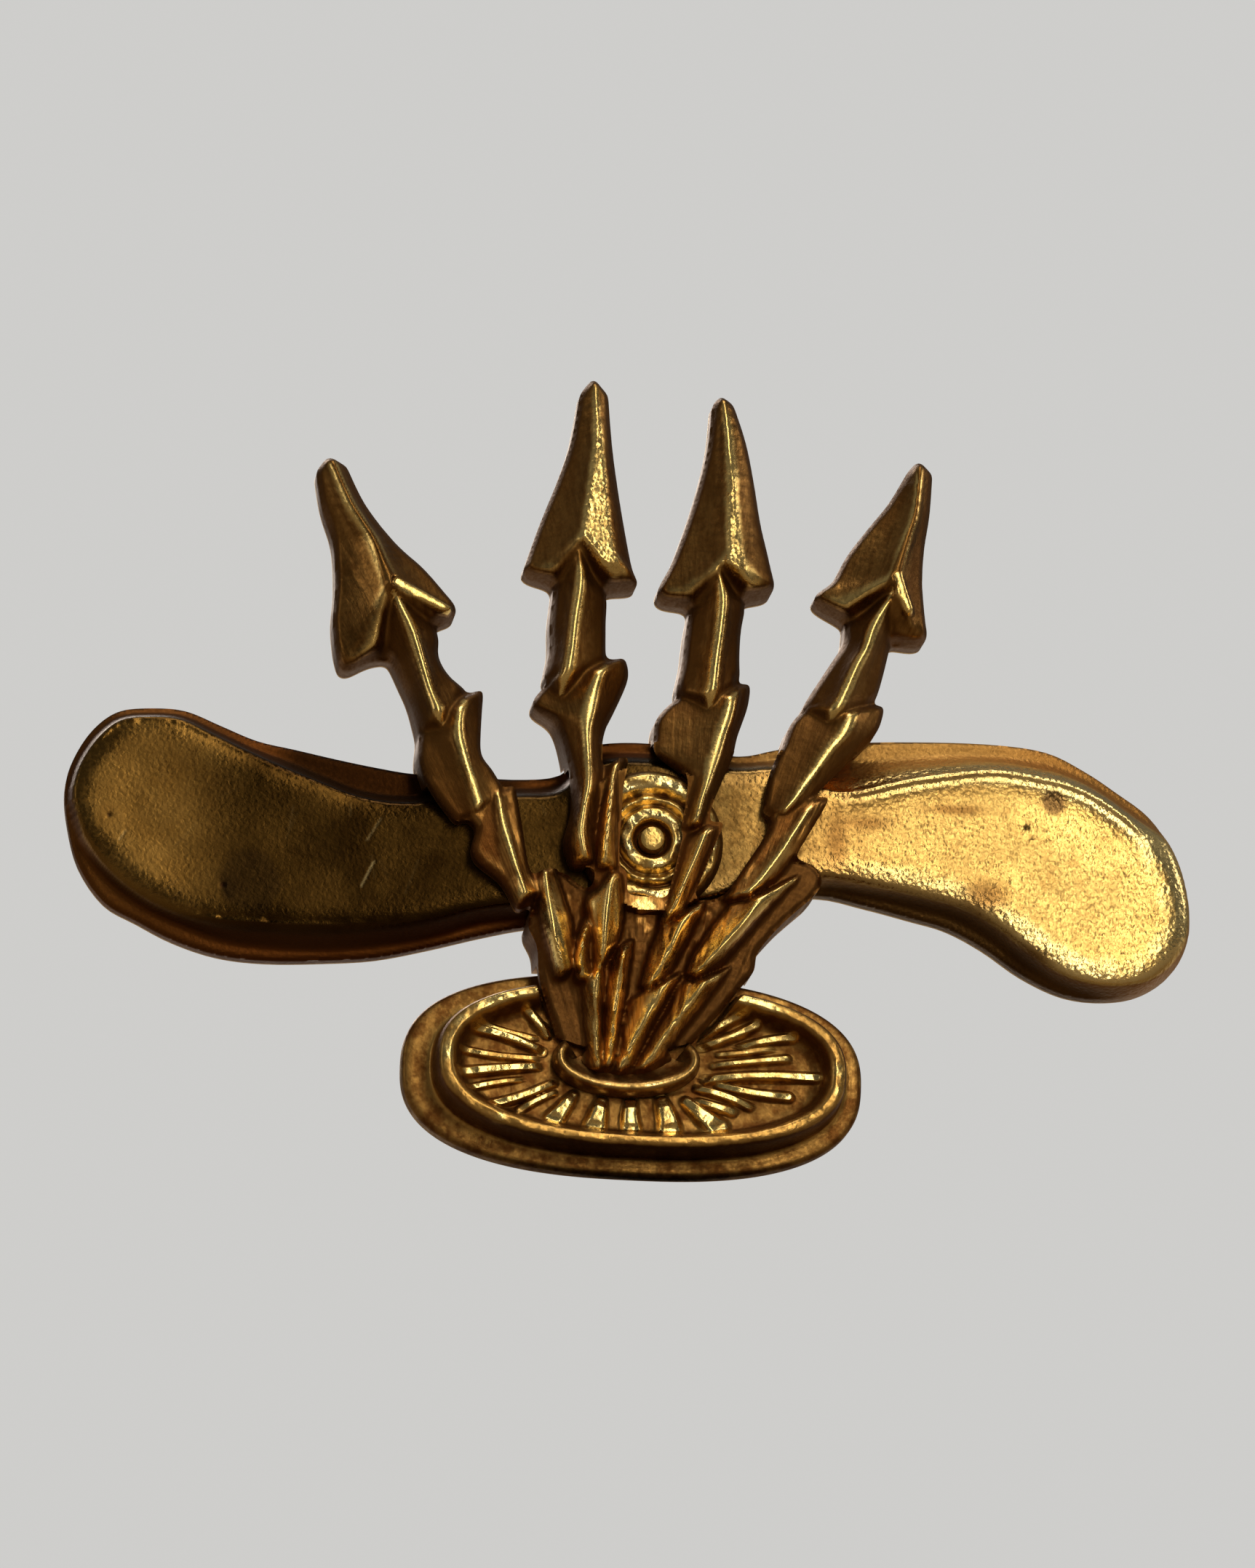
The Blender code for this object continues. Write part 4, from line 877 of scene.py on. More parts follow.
def bolts_material():
    gold = gilt(
        "gilt_bolts", base=(0.64, 0.325, 0.085), bright=(1.0, 0.72, 0.25),
        rough=0.35, polished=0.24, grain_scale=9000.0, grain_bump=0.25,
    )
    gold.bump(gold.times(gold.cells(8600.0), gold.field("flat")), strength=0.8)
    # hairlines run along the fan, on the radial coordinates kept in the mesh
    flow = gold.node("CombineXYZ")
    gold.connect(gold.field("flow_u"), flow.inputs[0])
    gold.connect(gold.field("flow_v"), flow.inputs[1])
    hair = gold.noise(1.0, vector=flow.outputs[0])
    shine = gold.ramp(gold.field("cav"), start=-0.10, end=-0.60)
    calm = gold.minus(1.0, gold.times(gold.field("plain"), 0.8))
    unshone = gold.minus(1.0, gold.times(shine, 0.85))
    gold.bump(gold.times(gold.times(hair, calm), unshone), strength=0.35)
    # the bright crests, worn and painted as highlights, keep fewer dark hairlines and none of the
    # upper bars' darkening
    rubbed_and_lit = gold.ramp(gold.field("cav"), start=-0.18, end=-0.85)
    unlit_unrubbed = gold.minus(1.0, rubbed_and_lit)
    hairy = gold.times(
        gold.ramp(hair, start=0.42, end=0.66, high=0.72),
        gold.plus(gold.times(unlit_unrubbed, 0.8), 0.2),
    )
    calm = gold.minus(1.0, gold.times(gold.field("plain"), 0.8))
    gold.tint(gold.times(hairy, calm), (0.16, 0.062, 0.014))
    # the open ground between the bolts is painted darker, patina with painted shade between them
    gold.tint(gold.times(gold.field("plain"), 0.55), (0.15, 0.075, 0.022))
    # painted shade: the upper bars are darker off their crests
    upper = gold.times(gold.field("upper"), unlit_unrubbed)
    gold.tint(gold.times(upper, 0.70), (0.138, 0.064, 0.0145))
    gold.tint_back()
    return gold.finish()


def hub_material():
    return gilt(
        "gilt_hub", base=(0.90, 0.61, 0.19), bright=(1.0, 0.80, 0.36),
        rough=0.34, polished=0.22, grain_scale=8000.0, grain_bump=0.8,
    ).finish()


def rivet_material():
    return gilt(
        "gilt_rivet", base=(0.84, 0.58, 0.18), recess=(0.45, 0.24, 0.06),
        bright=(1.0, 0.85, 0.45), rough=0.36, polished=0.2,
        grain_scale=9000.0, grain_bump=0.9, wear_and_painted_light=False,
    ).finish()


def dish_material():
    gold = gilt(
        "gilt_dish", base=(0.64, 0.37, 0.10), bright=(1.0, 0.75, 0.28),
        rough=0.34, polished=0.20, grain_scale=8000.0, grain_bump=0.30,
    )
    gold.tint_back()
    return gold.finish()


def collar_material():
    return gilt(
        "gilt_collar", base=(0.70, 0.44, 0.14), bright=(1.0, 0.78, 0.36),
        rough=0.32, polished=0.18, grain_scale=8000.0, grain_bump=0.45,
    ).finish()


def brushed(name, light, dark, scale, detail, spread, lines, strength, rough, by_lines=False):
    """Plain metal with brush lines. Rough is a range, which follows the lines or the tone."""
    metal = Surface(name)
    tone = metal.noise(scale, detail=detail)
    metal.colour = metal.mix(metal.ramp(tone, *spread), light, dark)
    strokes = metal.brush_lines(lines)
    metal.roughness = metal.ramp(strokes if by_lines else tone, 0.3, 0.7, *rough)
    metal.bump(strokes, strength=strength, distance=0.00002)
    return metal.finish()


def make_materials():
    return {
        "propeller": propeller_material(),
        "bolts": bolts_material(),
        "hub": hub_material(),
        "rivet": rivet_material(),
        "dish": dish_material(),
        "collar": collar_material(),
        "fittings": brushed(
            "brass_fittings", light=(0.78, 0.55, 0.22), dark=(0.50, 0.31, 0.10),
            scale=700.0, detail=4.0, spread=(0.35, 0.7), lines=(400.0, 9000.0, 9000.0),
            strength=0.3, rough=(0.28, 0.42),
        ),
        "sleeve": brushed(
            "brass_sleeve", light=(0.86, 0.63, 0.27), dark=(0.60, 0.39, 0.14),
            scale=900.0, detail=4.0, spread=(0.4, 0.7), lines=(6000.0, 1500.0, 1500.0),
            strength=0.25, rough=(0.2, 0.34),
        ),
        "steel": brushed(
            "pin_steel", light=(0.66, 0.65, 0.62), dark=(0.46, 0.44, 0.40),
            scale=500.0, detail=3.0, spread=(0.4, 0.75), lines=(250.0, 9000.0, 9000.0),
            strength=0.25, rough=(0.2, 0.36), by_lines=True,
        ),
    }


# ---- propeller -----------------------------------------------------------------------------
# Pits on the face: across, down, radius in millimetres.
PITS = (
    (155, 1114, 0.08), (1411, 1135, 0.10), (1418, 1150, 0.06),
    (310, 1210, 0.08), (1540, 1308, 0.05), (1455, 1262, 0.05),
)
# Darker patches on the face: across, down, half width and half height in millimetres.
DARK_PATCHES = (
    (1353, 1230, 0.75, 0.55), (1412, 1312, 0.80, 0.40), (1146, 1152, 0.40, 0.85),
    (1190, 1128, 0.9, 0.25), (1310, 1110, 1.1, 0.18),
)
# Deep scratches: both ends on the drawing, and the depth (1 is deepest).
SCRATCHES = (
    ((498, 1212), (514, 1180), 1.0), ((170, 1148), (178, 1136), 0.9),
    ((505, 1150), (523, 1122), 0.5), ((1183, 1037), (1206, 1030), 0.6),
)


def scratch_field(x, z):
    """A few deep scratches and many hairlines."""
    rng = np.random.default_rng(8)
    lines = list(SCRATCHES)
    for _ in range(46):
        across, down = rng.uniform(130, 1590), rng.uniform(1060, 1280)
        turn, length = rng.normal(1.0, 0.7), rng.uniform(12, 55)
        end = (across + math.cos(turn) * length, down - math.sin(turn) * length)
        lines.append(((across, down), end, rng.uniform(0.02, 0.12)))
    scratch = np.zeros_like(x)
    for start, end, depth in lines:
        off = line_distance(x, z, [place(*start, FACE), place(*end, FACE)])
        scratch = np.maximum(scratch, depth * ease(off, 0.045, 0.0))
    return scratch


def mark_fields(x, z):
    """A round heat mark on each blade, the pits and the darker patches."""
    ragged = 1 + 0.16 * noise(x, z, 0.5, 5)
    mark_x, mark_z = place(345, 1205, FACE)
    left = ease(np.hypot((x - mark_x) / 0.88, (z - mark_z) / 0.86) * ragged, 1.08, 0.78)
    left = left * (0.62 + 0.38 * ease(np.hypot(x - mark_x + 0.62, z - mark_z + 0.25), 0.5, 0.1))
    mark_x, mark_z = place(1449, 1101, FACE)
    right = ease(np.hypot(x - mark_x, z - mark_z) * ragged, 0.40, 0.22)
    pit, dark_patch = np.zeros_like(x), np.zeros_like(x)
    for across, down, radius in PITS:
        mark_x, mark_z = place(across, down, FACE)
        off = np.hypot(x - mark_x, z - mark_z)
        pit = np.maximum(pit, ease(off, radius, radius * 0.35))
    for across, down, half_x, half_z in DARK_PATCHES:
        mark_x, mark_z = place(across, down, FACE)
        off = np.hypot((x - mark_x) / half_x, (z - mark_z) / half_z)
        dark_patch = np.maximum(dark_patch, ease(off + 0.18 * grain(x, z, 0.30, 17), 1.25, 0.15))
    return left, right, pit, dark_patch


def build_propeller(material):
    cell = 0.05
    rim = propeller_outline(RIM, FLANGE / 2, 4)
    x, z = make_grid(rim.min(0) - 0.3, rim.max(0) + 0.3, cell)
    # distances outside each outline
    off_rim = signed_distance(rim, x, z, 9.0)
    off_foot = signed_distance(propeller_outline(FOOT, FLANGE, 4), x, z, 9.0)
    off_face = signed_distance(propeller_outline(EDGE_OF_FACE, FACE - 0.04, 4), x, z, 9.0)
    edge_height = FACE - 0.10
    # wall between the foot and the face's edge
    t = np.clip(-off_foot / np.maximum(-off_foot + off_face, 1e-4), 0, 1)
    t = np.where(off_face < 0, 1.0, np.where(off_foot > 0, 0.0, t))
    wall = FLANGE + (edge_height - FLANGE) * ease(t, -0.12, 1.10)
    # the face rolls over at its edge; a raised bead follows the right blade's upper edge
    depth = np.maximum(-off_face, 0.0)
    across, down = on_drawing(x, z, FACE)
    slant = down + 0.3 * (across - 1500)
    upper_edge = ease(x, 4.2, 6.0) * ease(1190 - down + (across - 1300) * 0.18, 0, 60)
    upper_edge = upper_edge * ease(slant, 1205, 1140)
    roll = 0.16 + 0.34 * (1 - upper_edge)
    face = edge_height + 0.10 * np.sqrt(np.clip(1 - (1 - np.clip(depth / roll, 0, 1)) ** 2, 0, 1))
    bead = 0.085 * bell(depth, 0.12, 0.075) + 0.035 * bell(depth, 0.34, 0.05)
    face += upper_edge * (bead - 0.03 * bell(depth, 0.24, 0.05))
    face -= upper_edge * 0.05 * bell(depth, 0.75, 0.35)
    # blades are slightly hollowed along their middle, and the left one sinks towards its tip
    face -= 0.03 * ease(depth, 0.4, 1.6)
    face -= 0.016 * np.clip(-1.5 - x, 0, 13)
    height = np.where(off_face < 0, face, wall)
    border = FLANGE - 0.02 + 0.02 * ease(-off_rim, 0.0, 0.12)
    height = np.where(off_foot > 0, border, height)
    # at the right tip the wall turns over in one round
    rolled = ease(slant, 1120, 1190) * ease(x, 11.4, 13.3)
    t = np.clip(-off_rim / np.maximum(-off_rim + np.maximum(off_face, 0), 1e-4), 0, 1)
    turned = 0.55 * FLANGE + (edge_height - 0.55 * FLANGE) * np.sqrt(np.clip(1 - (1 - t) ** 2, 0, 1))
    height = np.where(off_face > 0, height * (1 - rolled) + turned * rolled, height)
    height = blur(height, off_rim < 0.3, 0.045 / cell)
    height -= 0.05 * (1 - ease(-off_rim, 0.0, 0.09)) * (off_foot > 0)
    # the struck grain, coarser on the right blade
    peel = grain(x, z, 0.15, 11) * 0.0030 * ease(x, 0.0, 4.0)
    peel = peel + grain(x, z, 0.5, 21) * 0.003 * (0.3 + 0.7 * ease(x, -1.0, 3.0))
    height += peel * ease(depth, 0.05, 0.3)
    height += grain(x, z, 1.8, 31) * 0.008 * ease(depth, 0.1, 0.6)
    height += grain(x, z, 0.14, 32) * 0.0045 * ease(x, 0.6, 1.4) * ease(x, 5.0, 3.8)
    height = np.minimum(height, FACE + 0.11)
    # clear of the hub and the bolts, which stand on a flat ground
    from_hub = np.hypot(x - HUB_X, z - HUB_Z)
    under = ease(1.95 - from_hub, 0.0, 0.1)
    height = height * (1 - under) + np.minimum(height, FACE) * under
    span = ease(np.abs(x - 0.6), 4.6, 3.4)
    height = np.minimum(height, FACE * span + (FACE + 0.2) * (1 - span))
    outside = np.maximum(off_rim, 0.31 - from_hub)  # with the rivet's hole
    mark_left, mark_right, pit, dark_patch = mark_fields(x, z)
    height -= 0.03 * pit
    scratch = scratch_field(x, z) * ease(-off_face, 0.1, 0.4)
    height -= 0.010 * scratch
    # wear and painted light: recesses darken as patina, crests brighten as wear and painted
    # highlight, and the lines below add painted shade and highlight
    mask = off_rim < 0.0
    hollow = cavity(height, mask, 0.06 / cell, 0.45 / cell, 0.14)
    wedge = ease(across, 360, 420) * ease(across, 740, 700) * ease(down, 1130, 1110)
    wedge = wedge * (off_foot > -0.25)
    # a dark wedge on the left blade's upper wall, and painted shade on the left blade's walls and
    # border
    hollow = hollow + wedge + 0.35 * (off_foot > -0.05) * (x < 0)
    # painted shade on the walls that face down, and on the left blade's lower wall
    facing_down = ease(-np.gradient(off_face, cell, axis=0), 0.25, 0.75)
    below = blur(facing_down * ease(off_face, -0.04, 0.03), mask, 0.04 / cell)
    below = below * ease(x, 3.5, 5.0) * (1 - 0.7 * rolled)
    left_wall = ease(-x, 0.5, 1.5) * ease(off_face, -0.03, 0.04) * ease(-off_foot, -0.02, 0.05)
    below = np.maximum(below, 0.65 * left_wall)
    # the shade goes in here, and the right tip's rolled wall gets a painted highlight
    hollow = hollow + 0.8 * below - 0.9 * rolled * (off_face > -0.1) * (1 - below)
    fields = {
        "cav": hollow, "cav_deep": ease(hollow, 0.15, 0.8), "mark_a": mark_left,
        "mark_b": mark_right, "pit": pit, "scratch": scratch, "wedge": np.clip(wedge, 0, 1),
        "dark_patch": dark_patch, "below": below,
    }
    return relief("gilt_propeller_relief", x, z, height, outside, material, fields)


# ---- lightning bolts -----------------------------------------------------------------------
def bar_arrays(stations, head, low):
    """Smoothed stations as X, Z and heights, each with columns left edge, ridge, right edge."""
    points = smooth_curve(stations, 4, closed=False).reshape(-1, 3, 2)
    count = len(points)
    along = np.linspace(0, 1, count)
    x, z, height = (np.zeros((count, 3)) for _ in range(3))
    for k, column in enumerate((EDGE, RIDGE, EDGE)):
        down = points[:, k, 1]
        height[:, k] = height_at(down, column) + 0.16 * along - 0.08
        # low where the bars cross the blades
        crossing = low * ease(down, 985, 1075) * ease(down, 1270, 1190)
        height[:, k] -= crossing * np.maximum(height[:, k] - 1.62, 0.0)
    if head:
        # the left barb's face runs on to its lower edge
        share = 0.34 * np.clip((np.arange(count) - (count - 5)) / 4.0, 0, 1)
        height[:, 0] += (height[:, 1] - height[:, 0]) * share
    for k in range(3):
        x[:, k], z[:, k] = place(points[:, k, 0], points[:, k, 1], height[:, k])
    return x, z, height


def stretched(bar, at_start, at_end, drop):
    """The bar carried on a little past its ends and down, so that the next grows out of it."""
    reach = 0.40
    x, z, height = bar
    before, after = [], []
    for end, inner, wanted, parts in ((0, 3, at_start, before), (-1, -4, at_end, after)):
        if wanted:
            side_x, side_z = x[end] - x[inner], z[end] - z[inner]
            size = np.maximum(np.hypot(side_x, side_z).mean(), 1e-6)
            moves = (side_x.mean() / size * reach, side_z.mean() / size * reach, -drop)
            parts.append([(values[end] + move)[None] for values, move in zip(bar, moves)])
    return [
        np.concatenate([p[k] for p in before] + [bar[k]] + [p[k] for p in after])
        for k in range(3)
    ]


def triangle_cells(x, z, corners, values):
    """The grid window round a triangle, which of its cells are inside, and the corners' values
    interpolated over it. None if the triangle covers no cell."""
    (x0, z0), (x1, z1), (x2, z2) = corners
    area = (x1 - x0) * (z2 - z0) - (x2 - x0) * (z1 - z0)
    if abs(area) < 1e-9:
        return None
    spans = []
    for axis, ends in ((z[:, 0], (z0, z1, z2)), (x[0], (x0, x1, x2))):
        start = np.searchsorted(axis, min(ends)) - 1
        spans.append(slice(max(start, 0), np.searchsorted(axis, max(ends)) + 1))
    window = tuple(spans)
    x, z = x[window], z[window]
    second = ((x - x0) * (z2 - z0) - (x2 - x0) * (z - z0)) / area
    third = ((x1 - x0) * (z - z0) - (x - x0) * (z1 - z0)) / area
    first = 1 - second - third
    inside = (first >= -1e-6) & (second >= -1e-6) & (third >= -1e-6)
    if not inside.any():
        return None
    return window, inside, [first * a + second * b + third * c for a, b, c in values]


def paint_cells(maps, window, inside, values, head, flat, turned):
    """Writes one triangle of a bar into the maps where it stands above what is there."""
    rise, ridge, edge, along = values
    rise = np.clip(rise, 0, 1)  # 0 on the edge, 1 on the ridge
    if flat is not None:
        bend = np.interp(along, *np.array(flat).T)
        shape = np.where(
            rise < bend, 0.92 * (rise / bend) ** 0.8, 0.92 + 0.08 * ease(rise, bend, bend + 0.08)
        )
        # the flat part keeps the ridge's height and turns a little to the right
        own = height_at(maps["down"][window], RIDGE) + 0.16 * along - 0.08 - 0.085 * (1 - rise)
        share = ease(rise, bend - 0.02, bend + 0.06)
        ridge = ridge * (1 - share) + own * share
        flatness = ease(rise, bend - 0.03, bend + 0.05) * ease(along, 0.03, 0.12)
        view = maps["flat"][window]
        view[inside] = np.maximum(view[inside], flatness[inside])
    elif head:
        capped = np.minimum(rise, 0.945)
        shape = 0.55 * capped + 0.45 * capped**2.6
    else:
        capped = np.minimum(rise, 0.90)
        shape = 0.72 * capped + 0.28 * capped**3
    height = edge + (ridge - edge) * shape
    better = inside & (height > maps["top"][window])
    maps["top"][window][better] = height[better]
    maps["crest"][window][better] = rise[better]
    maps["head"][window][better] = float(head)
    maps["away"][window][better] = float(turned)


def paint_bar(maps, x, z, bar, number, head):
    bar_x, bar_z, bar_height = bar
    last = len(bar_x) - 1
    for i in range(last):
        for side in (0, 2):
            flat = FLAT_FACES.get(number) if head and side == 2 else None
            turned = side == 0 and number in (0, 3) and not head
            quad = ((i, side), (i, 1), (i + 1, 1), (i + 1, side))
            for picks in ((0, 1, 2), (0, 2, 3)):
                triangle = [quad[k] for k in picks]
                values = (
                    [float(column == 1) for _, column in triangle],
                    [bar_height[row, 1] for row, _ in triangle],
                    [bar_height[row, side] for row, _ in triangle],
                    [row / last for row, _ in triangle],
                )
                corners = [(bar_x[corner], bar_z[corner]) for corner in triangle]
                cells = triangle_cells(x, z, corners, values)
                if cells is not None:
                    paint_cells(maps, *cells, head, flat, turned)


def joint(upper, lower):
    """A quad that joins a station of one bar to a station of the next."""
    quad = []
    for station, order in ((upper, 1), (lower, -1)):
        left, right = station[:2], station[4:]
        middle = [(a + b) / 2 for a, b in zip(left, right)]
        ends = [[m + (p - m) * 0.7 for p, m in zip(end, middle)] for end in (left, right)]
        quad += [place(*end, float(height_at(end[1], EDGE)) - 0.05) for end in ends[::order]]
    return quad


def draw_bolts(x, z):
    """Maps of the bars' surface, and the distance outside all of them."""
    maps = {name: np.zeros(x.shape) for name in ("crest", "head", "away", "flat")}
    maps["top"] = np.full(x.shape, -9.0)
    maps["down"] = on_drawing(x, z, 1.5)[1]
    outside = np.full(x.shape, 0.7)
    for number, bolt in enumerate(BOLTS):
        for s, stations in enumerate(bolt):
            head = s == 0
            bar = bar_arrays(stations, head, 0.0 if number in (1, 2) else 0.42)
            bar_x, bar_z, _ = bar
            left = np.stack([bar_x[:, 0], bar_z[:, 0]], 1)
            right = np.stack([bar_x[::-1, 2], bar_z[::-1, 2]], 1)
            polygon = np.concatenate([left, right])
            if head:
                polygon = np.concatenate([polygon, [[bar_x[0, 1], bar_z[0, 1]]]])
            outside = soft_min(outside, signed_distance(polygon, x, z), 0.09)
            in_fan = stations[-1][3] > 1090
            drop = 0.55 if in_fan else 0.42
            bar = stretched(bar, not head, not head and not in_fan, drop)
            paint_bar(maps, x, z, bar, number, head)
            if not head:
                above = bolt[s - 1]
                for quad in (joint(above[-2], stations[1]), joint(above[-1], stations[0])):
                    outside = soft_min(outside, signed_distance(quad, x, z), 0.09)
    return maps, outside


def bolts_underside(x, z, cell):
    """The spray lies over the propeller, the dish and the hub."""
    reach = GAP + cell
    off_rim = signed_distance(propeller_outline(RIM, FLANGE / 2, 3), x, z, 2.0)
    off_foot = signed_distance(propeller_outline(FOOT, FLANGE, 3), x, z, 2.0)
    bottom = np.where(off_rim < reach, FLANGE + GAP, np.zeros(x.shape))
    bottom = np.where(off_foot < reach, FACE + GAP, bottom)
    bottom = np.where(dish_distance(x, z) < reach, DISH_FLOOR + GAP, bottom)
    on_hub = np.hypot(x - HUB_X, z - HUB_Z) < HUB_RADIUS + reach
    return np.where(on_hub, HUB_TOP + 0.05, bottom)


def cut_round_collar(x, z, outside):
    """Takes the collar's ring out of the outline, but for its upper arc."""
    ring = np.abs(collar_ring(x, z) - 1) * 0.85
    turn = np.degrees(np.arctan2((z - COLLAR_Z) / COLLAR_HALF_Z, (x - COLLAR_X) / COLLAR_HALF_X))
    at_collar = (ring < 0.30) & ~((turn > 34) & (turn < 146))
    return np.where(at_collar, np.maximum(outside, 0.27 - ring), outside)


def add_rolls_and_strips(x, z, height):
    """The heads' right barbs: rolled lower edges, and flat strips above them."""
    for line in ROLLS:
        points = [place(*p, float(height_at(p[1], RIDGE)) - 0.1) for p in line]
        height = height + 0.11 * bell(line_distance(x, z, points), 0.0, 0.10)
    for line, (start, end) in STRIPS:
        points = np.array([place(*p, 1.45) for p in line])
        side = points[-1] - points[0]
        along = (x - points[0][0]) * side[0] + (z - points[0][1]) * side[1]
        along = np.clip(along / (side @ side), 0, 1)
        share = ease(line_distance(x, z, points), 0.17, 0.09)
        height = height * (1 - share) + (start + (end - start) * along) * share
    return height


def build_bolts(material):
    cell = 0.045
    x, z = make_grid((-8.6, -0.45), (8.3, 18.4), cell)
    maps, outside = draw_bolts(x, z)
    top, crest, head, down = maps["top"], maps["crest"], maps["head"], maps["down"]
    off_web = signed_distance(web_outline(), x, z)
    outside = soft_min(outside, off_web, 0.10)
    outside = blur(outside, np.ones(outside.shape, bool), 0.075 / cell) - 0.03
    web_height = WEB + 0.22 * ease(down, 1440, 1250) + 0.014 * grain(x, z, 0.20, 77)
    ground = np.where(off_web < 0.05, web_height, height_at(down, EDGE) - 0.07)
    height = np.maximum(top, ground)
    mask = outside < 0.12

    def soften(field, width):
        return blur(field, mask, width / cell)

    # steps between the bars are soft, ridges stay crisp
    wide = soften(height, 0.11)
    soft = ease(np.abs(wide - height), 0.035, 0.11) * (1 - 0.80 * ease(down, 1040, 1110))
    soft = soften(soft, 0.05)
    height = soften(height * (1 - soft) + wide * soft, 0.034)
    height = soften(add_rolls_and_strips(x, z, height), 0.024)
    # facets aren't quite flat
    on_crest = soften(ease(crest, 0.80, 0.90), 0.05)
    height += 0.012 * grain(x, z, 0.8, 41) * (1 - 0.6 * maps["flat"])
    height += 0.0050 * grain(x, z, 0.15, 51) * (1 - 0.85 * on_crest) * ease(down, 1240, 1150)
    flat = soften(maps["flat"], 0.03)
    height += 0.0045 * flat * grain(x, z, 0.11, 55)
    # radial coordinates about the point the fan spreads from
    angle, reach = np.arctan2(x, z + 3.5), np.hypot(x, z + 3.5)
    sweep = angle * reach.mean()
    height += 0.005 * noise(sweep * 9.0, reach * 0.6, 1.0, 61) * (1 - 0.8 * on_crest)
    # the fan is drawn out into fine flutes
    fan = ease(down, 1170, 1290)
    flutes = noise(sweep * 3.6, reach * 0.10, 1.0, 62)
    height += fan * 0.040 * flutes * (1 - 0.7 * (top < ground))
    fine_flutes = 0.012 * noise(sweep * 8.0, reach * 0.3, 1.0, 63)
    height += (0.25 + 0.75 * fan) * fine_flutes * ease(down, 900, 1000)
    # the trimmed edge is rounded over, more so below the heads
    height -= 0.16 * (1 - ease(-outside, 0.0, 0.17)) ** 2
    on_head = ease(down, 940, 860)
    facing_down = soften(ease(-np.gradient(outside, cell, axis=0), 0.1, 0.7), 0.08)
    height -= 0.34 * on_head * facing_down * (1 - ease(-outside, 0.0, 0.22)) ** 1.5
    bottom = bolts_underside(x, z, cell)
    outside = cut_round_collar(x, z, outside)
    height = np.maximum(height, bottom + 0.06)

    # wear and painted light: recesses darken as patina, cliffs take painted shade, thin places are
    # darker, and lips and ridges take painted highlights, partly as wear
    mask = outside < 0.0
    hollow = cavity(height, mask, 0.05 / cell, 0.30 / cell, 0.16)
    # painted shade on the cliffs under each jog of the fan
    cliff = ease(np.gradient(soften(height, 0.03), cell, axis=0), 0.9, 1.8)
    hollow = hollow + 1.1 * soften(cliff * ease(down, 1180, 1240), 0.05)
    # painted highlight on the lips at the tops of the jogs, partly as wear
    lip = ease(height - soften(height, 0.16), 0.045, 0.10) * ease(down, 1140, 1200)
    hollow = hollow - 0.7 * soften(lip * ease(grain(x, z, 0.30, 66), -0.6, 0.3), 0.03)
    broken = 0.75 + 0.45 * grain(x, z, 0.30, 71)
    open_web = (off_web < 0.02) * ease(height - web_height, 0.12, 0.02)
    struck = open_web * ease(down, 1200, 1228) * ease(down, 1335, 1300) * ease(x, 3.2, 2.4)
    height += 0.026 * struck * grain(x, z, 0.16, 57)
    struck = soften(struck * ease(grain(x, z, 0.22, 58), -0.35, 0.55), 0.03)
    # the open ground between the bolts is darker, patina with painted shade between them, and its
    # struck patches are brighter, their grain with a painted sheen
    hollow = hollow + 0.70 * open_web * (1 - struck) - 0.85 * struck
    # the heads' flat right faces are painted bright, a painted highlight
    hollow = hollow * (1 - flat) - flat * (0.85 + 0.35 * grain(x, z, 0.12, 59))
    # only the necks and lower bars take a painted highlight along the ridge, partly as wear; the
    # heads' ridges take little of it
    far_heads = ease(np.abs(x - 0.9), 3.0, 4.2)
    ridge_shine = 0.9 * (1 - on_head) + on_head * (0.25 - 0.15 * far_heads)
    neck = (crest > 0) * ease(down, 760, 800)
    neck_shine = 0.9 * ease(down, 725, 760) * neck * (1 - head)
    ridge_shine = np.maximum(ridge_shine, neck_shine)
    along_ridge = ease(crest, 0.88, 0.95) * (1 - head) + ease(crest, 0.92, 0.98) * head
    hollow = hollow - ridge_shine * along_ridge * broken
    # painted shade on the flanks beside the upper ridges, on the outer heads' ridges, on the outer
    # bolts' left faces and on the right head's faces
    flank = ease(crest, 0.84, 0.70) * (1 - head) * (crest > 0)
    hollow = hollow + 0.30 * flank * ease(down, 1200, 1120)
    hollow = hollow + 1.1 * head * ease(crest, 0.86, 0.95) * far_heads
    turned = soften(maps["away"] * ease(crest, 0.88, 0.70), 0.05)
    hollow = hollow + 0.55 * turned * ease(down, 1240, 1160)
    hollow = hollow + 0.25 * head * ease(x, 6.0, 6.8) * ease(crest, 0.9, 0.8)
    # the strips on the outer heads' barbs take a painted highlight
    for line, _ in STRIPS:
        off = line_distance(x, z, [place(*p, 1.45) for p in line])
        hollow = hollow * ease(off, 0.06, 0.14) - ease(off, 0.14, 0.06)
    # the fan's flutes are painted bright on their crests and dark between them, painted highlight
    # and shade
    hollow = hollow - 0.75 * fan * ease(flutes, 0.45, 1.0) + 0.5 * fan * ease(flutes, -0.3, -1.0)
    thin = ease(height - bottom, 0.16, 0.07) * ease(down, 980, 1040) * ease(down, 1235, 1200)
    hollow = hollow + 0.7 * soften(thin, 0.05)
    fields = {
        "cav": hollow, "flow_u": angle * 140.0, "flow_v": reach * 1.2, "flat": flat,
        "upper": ease(down, 1190, 1060),
        "plain": soften(np.clip(open_web * (1 - struck), 0, 1), 0.06),
    }
    return relief("gilt_lightning_relief", x, z, height, outside, material, fields, bottom)


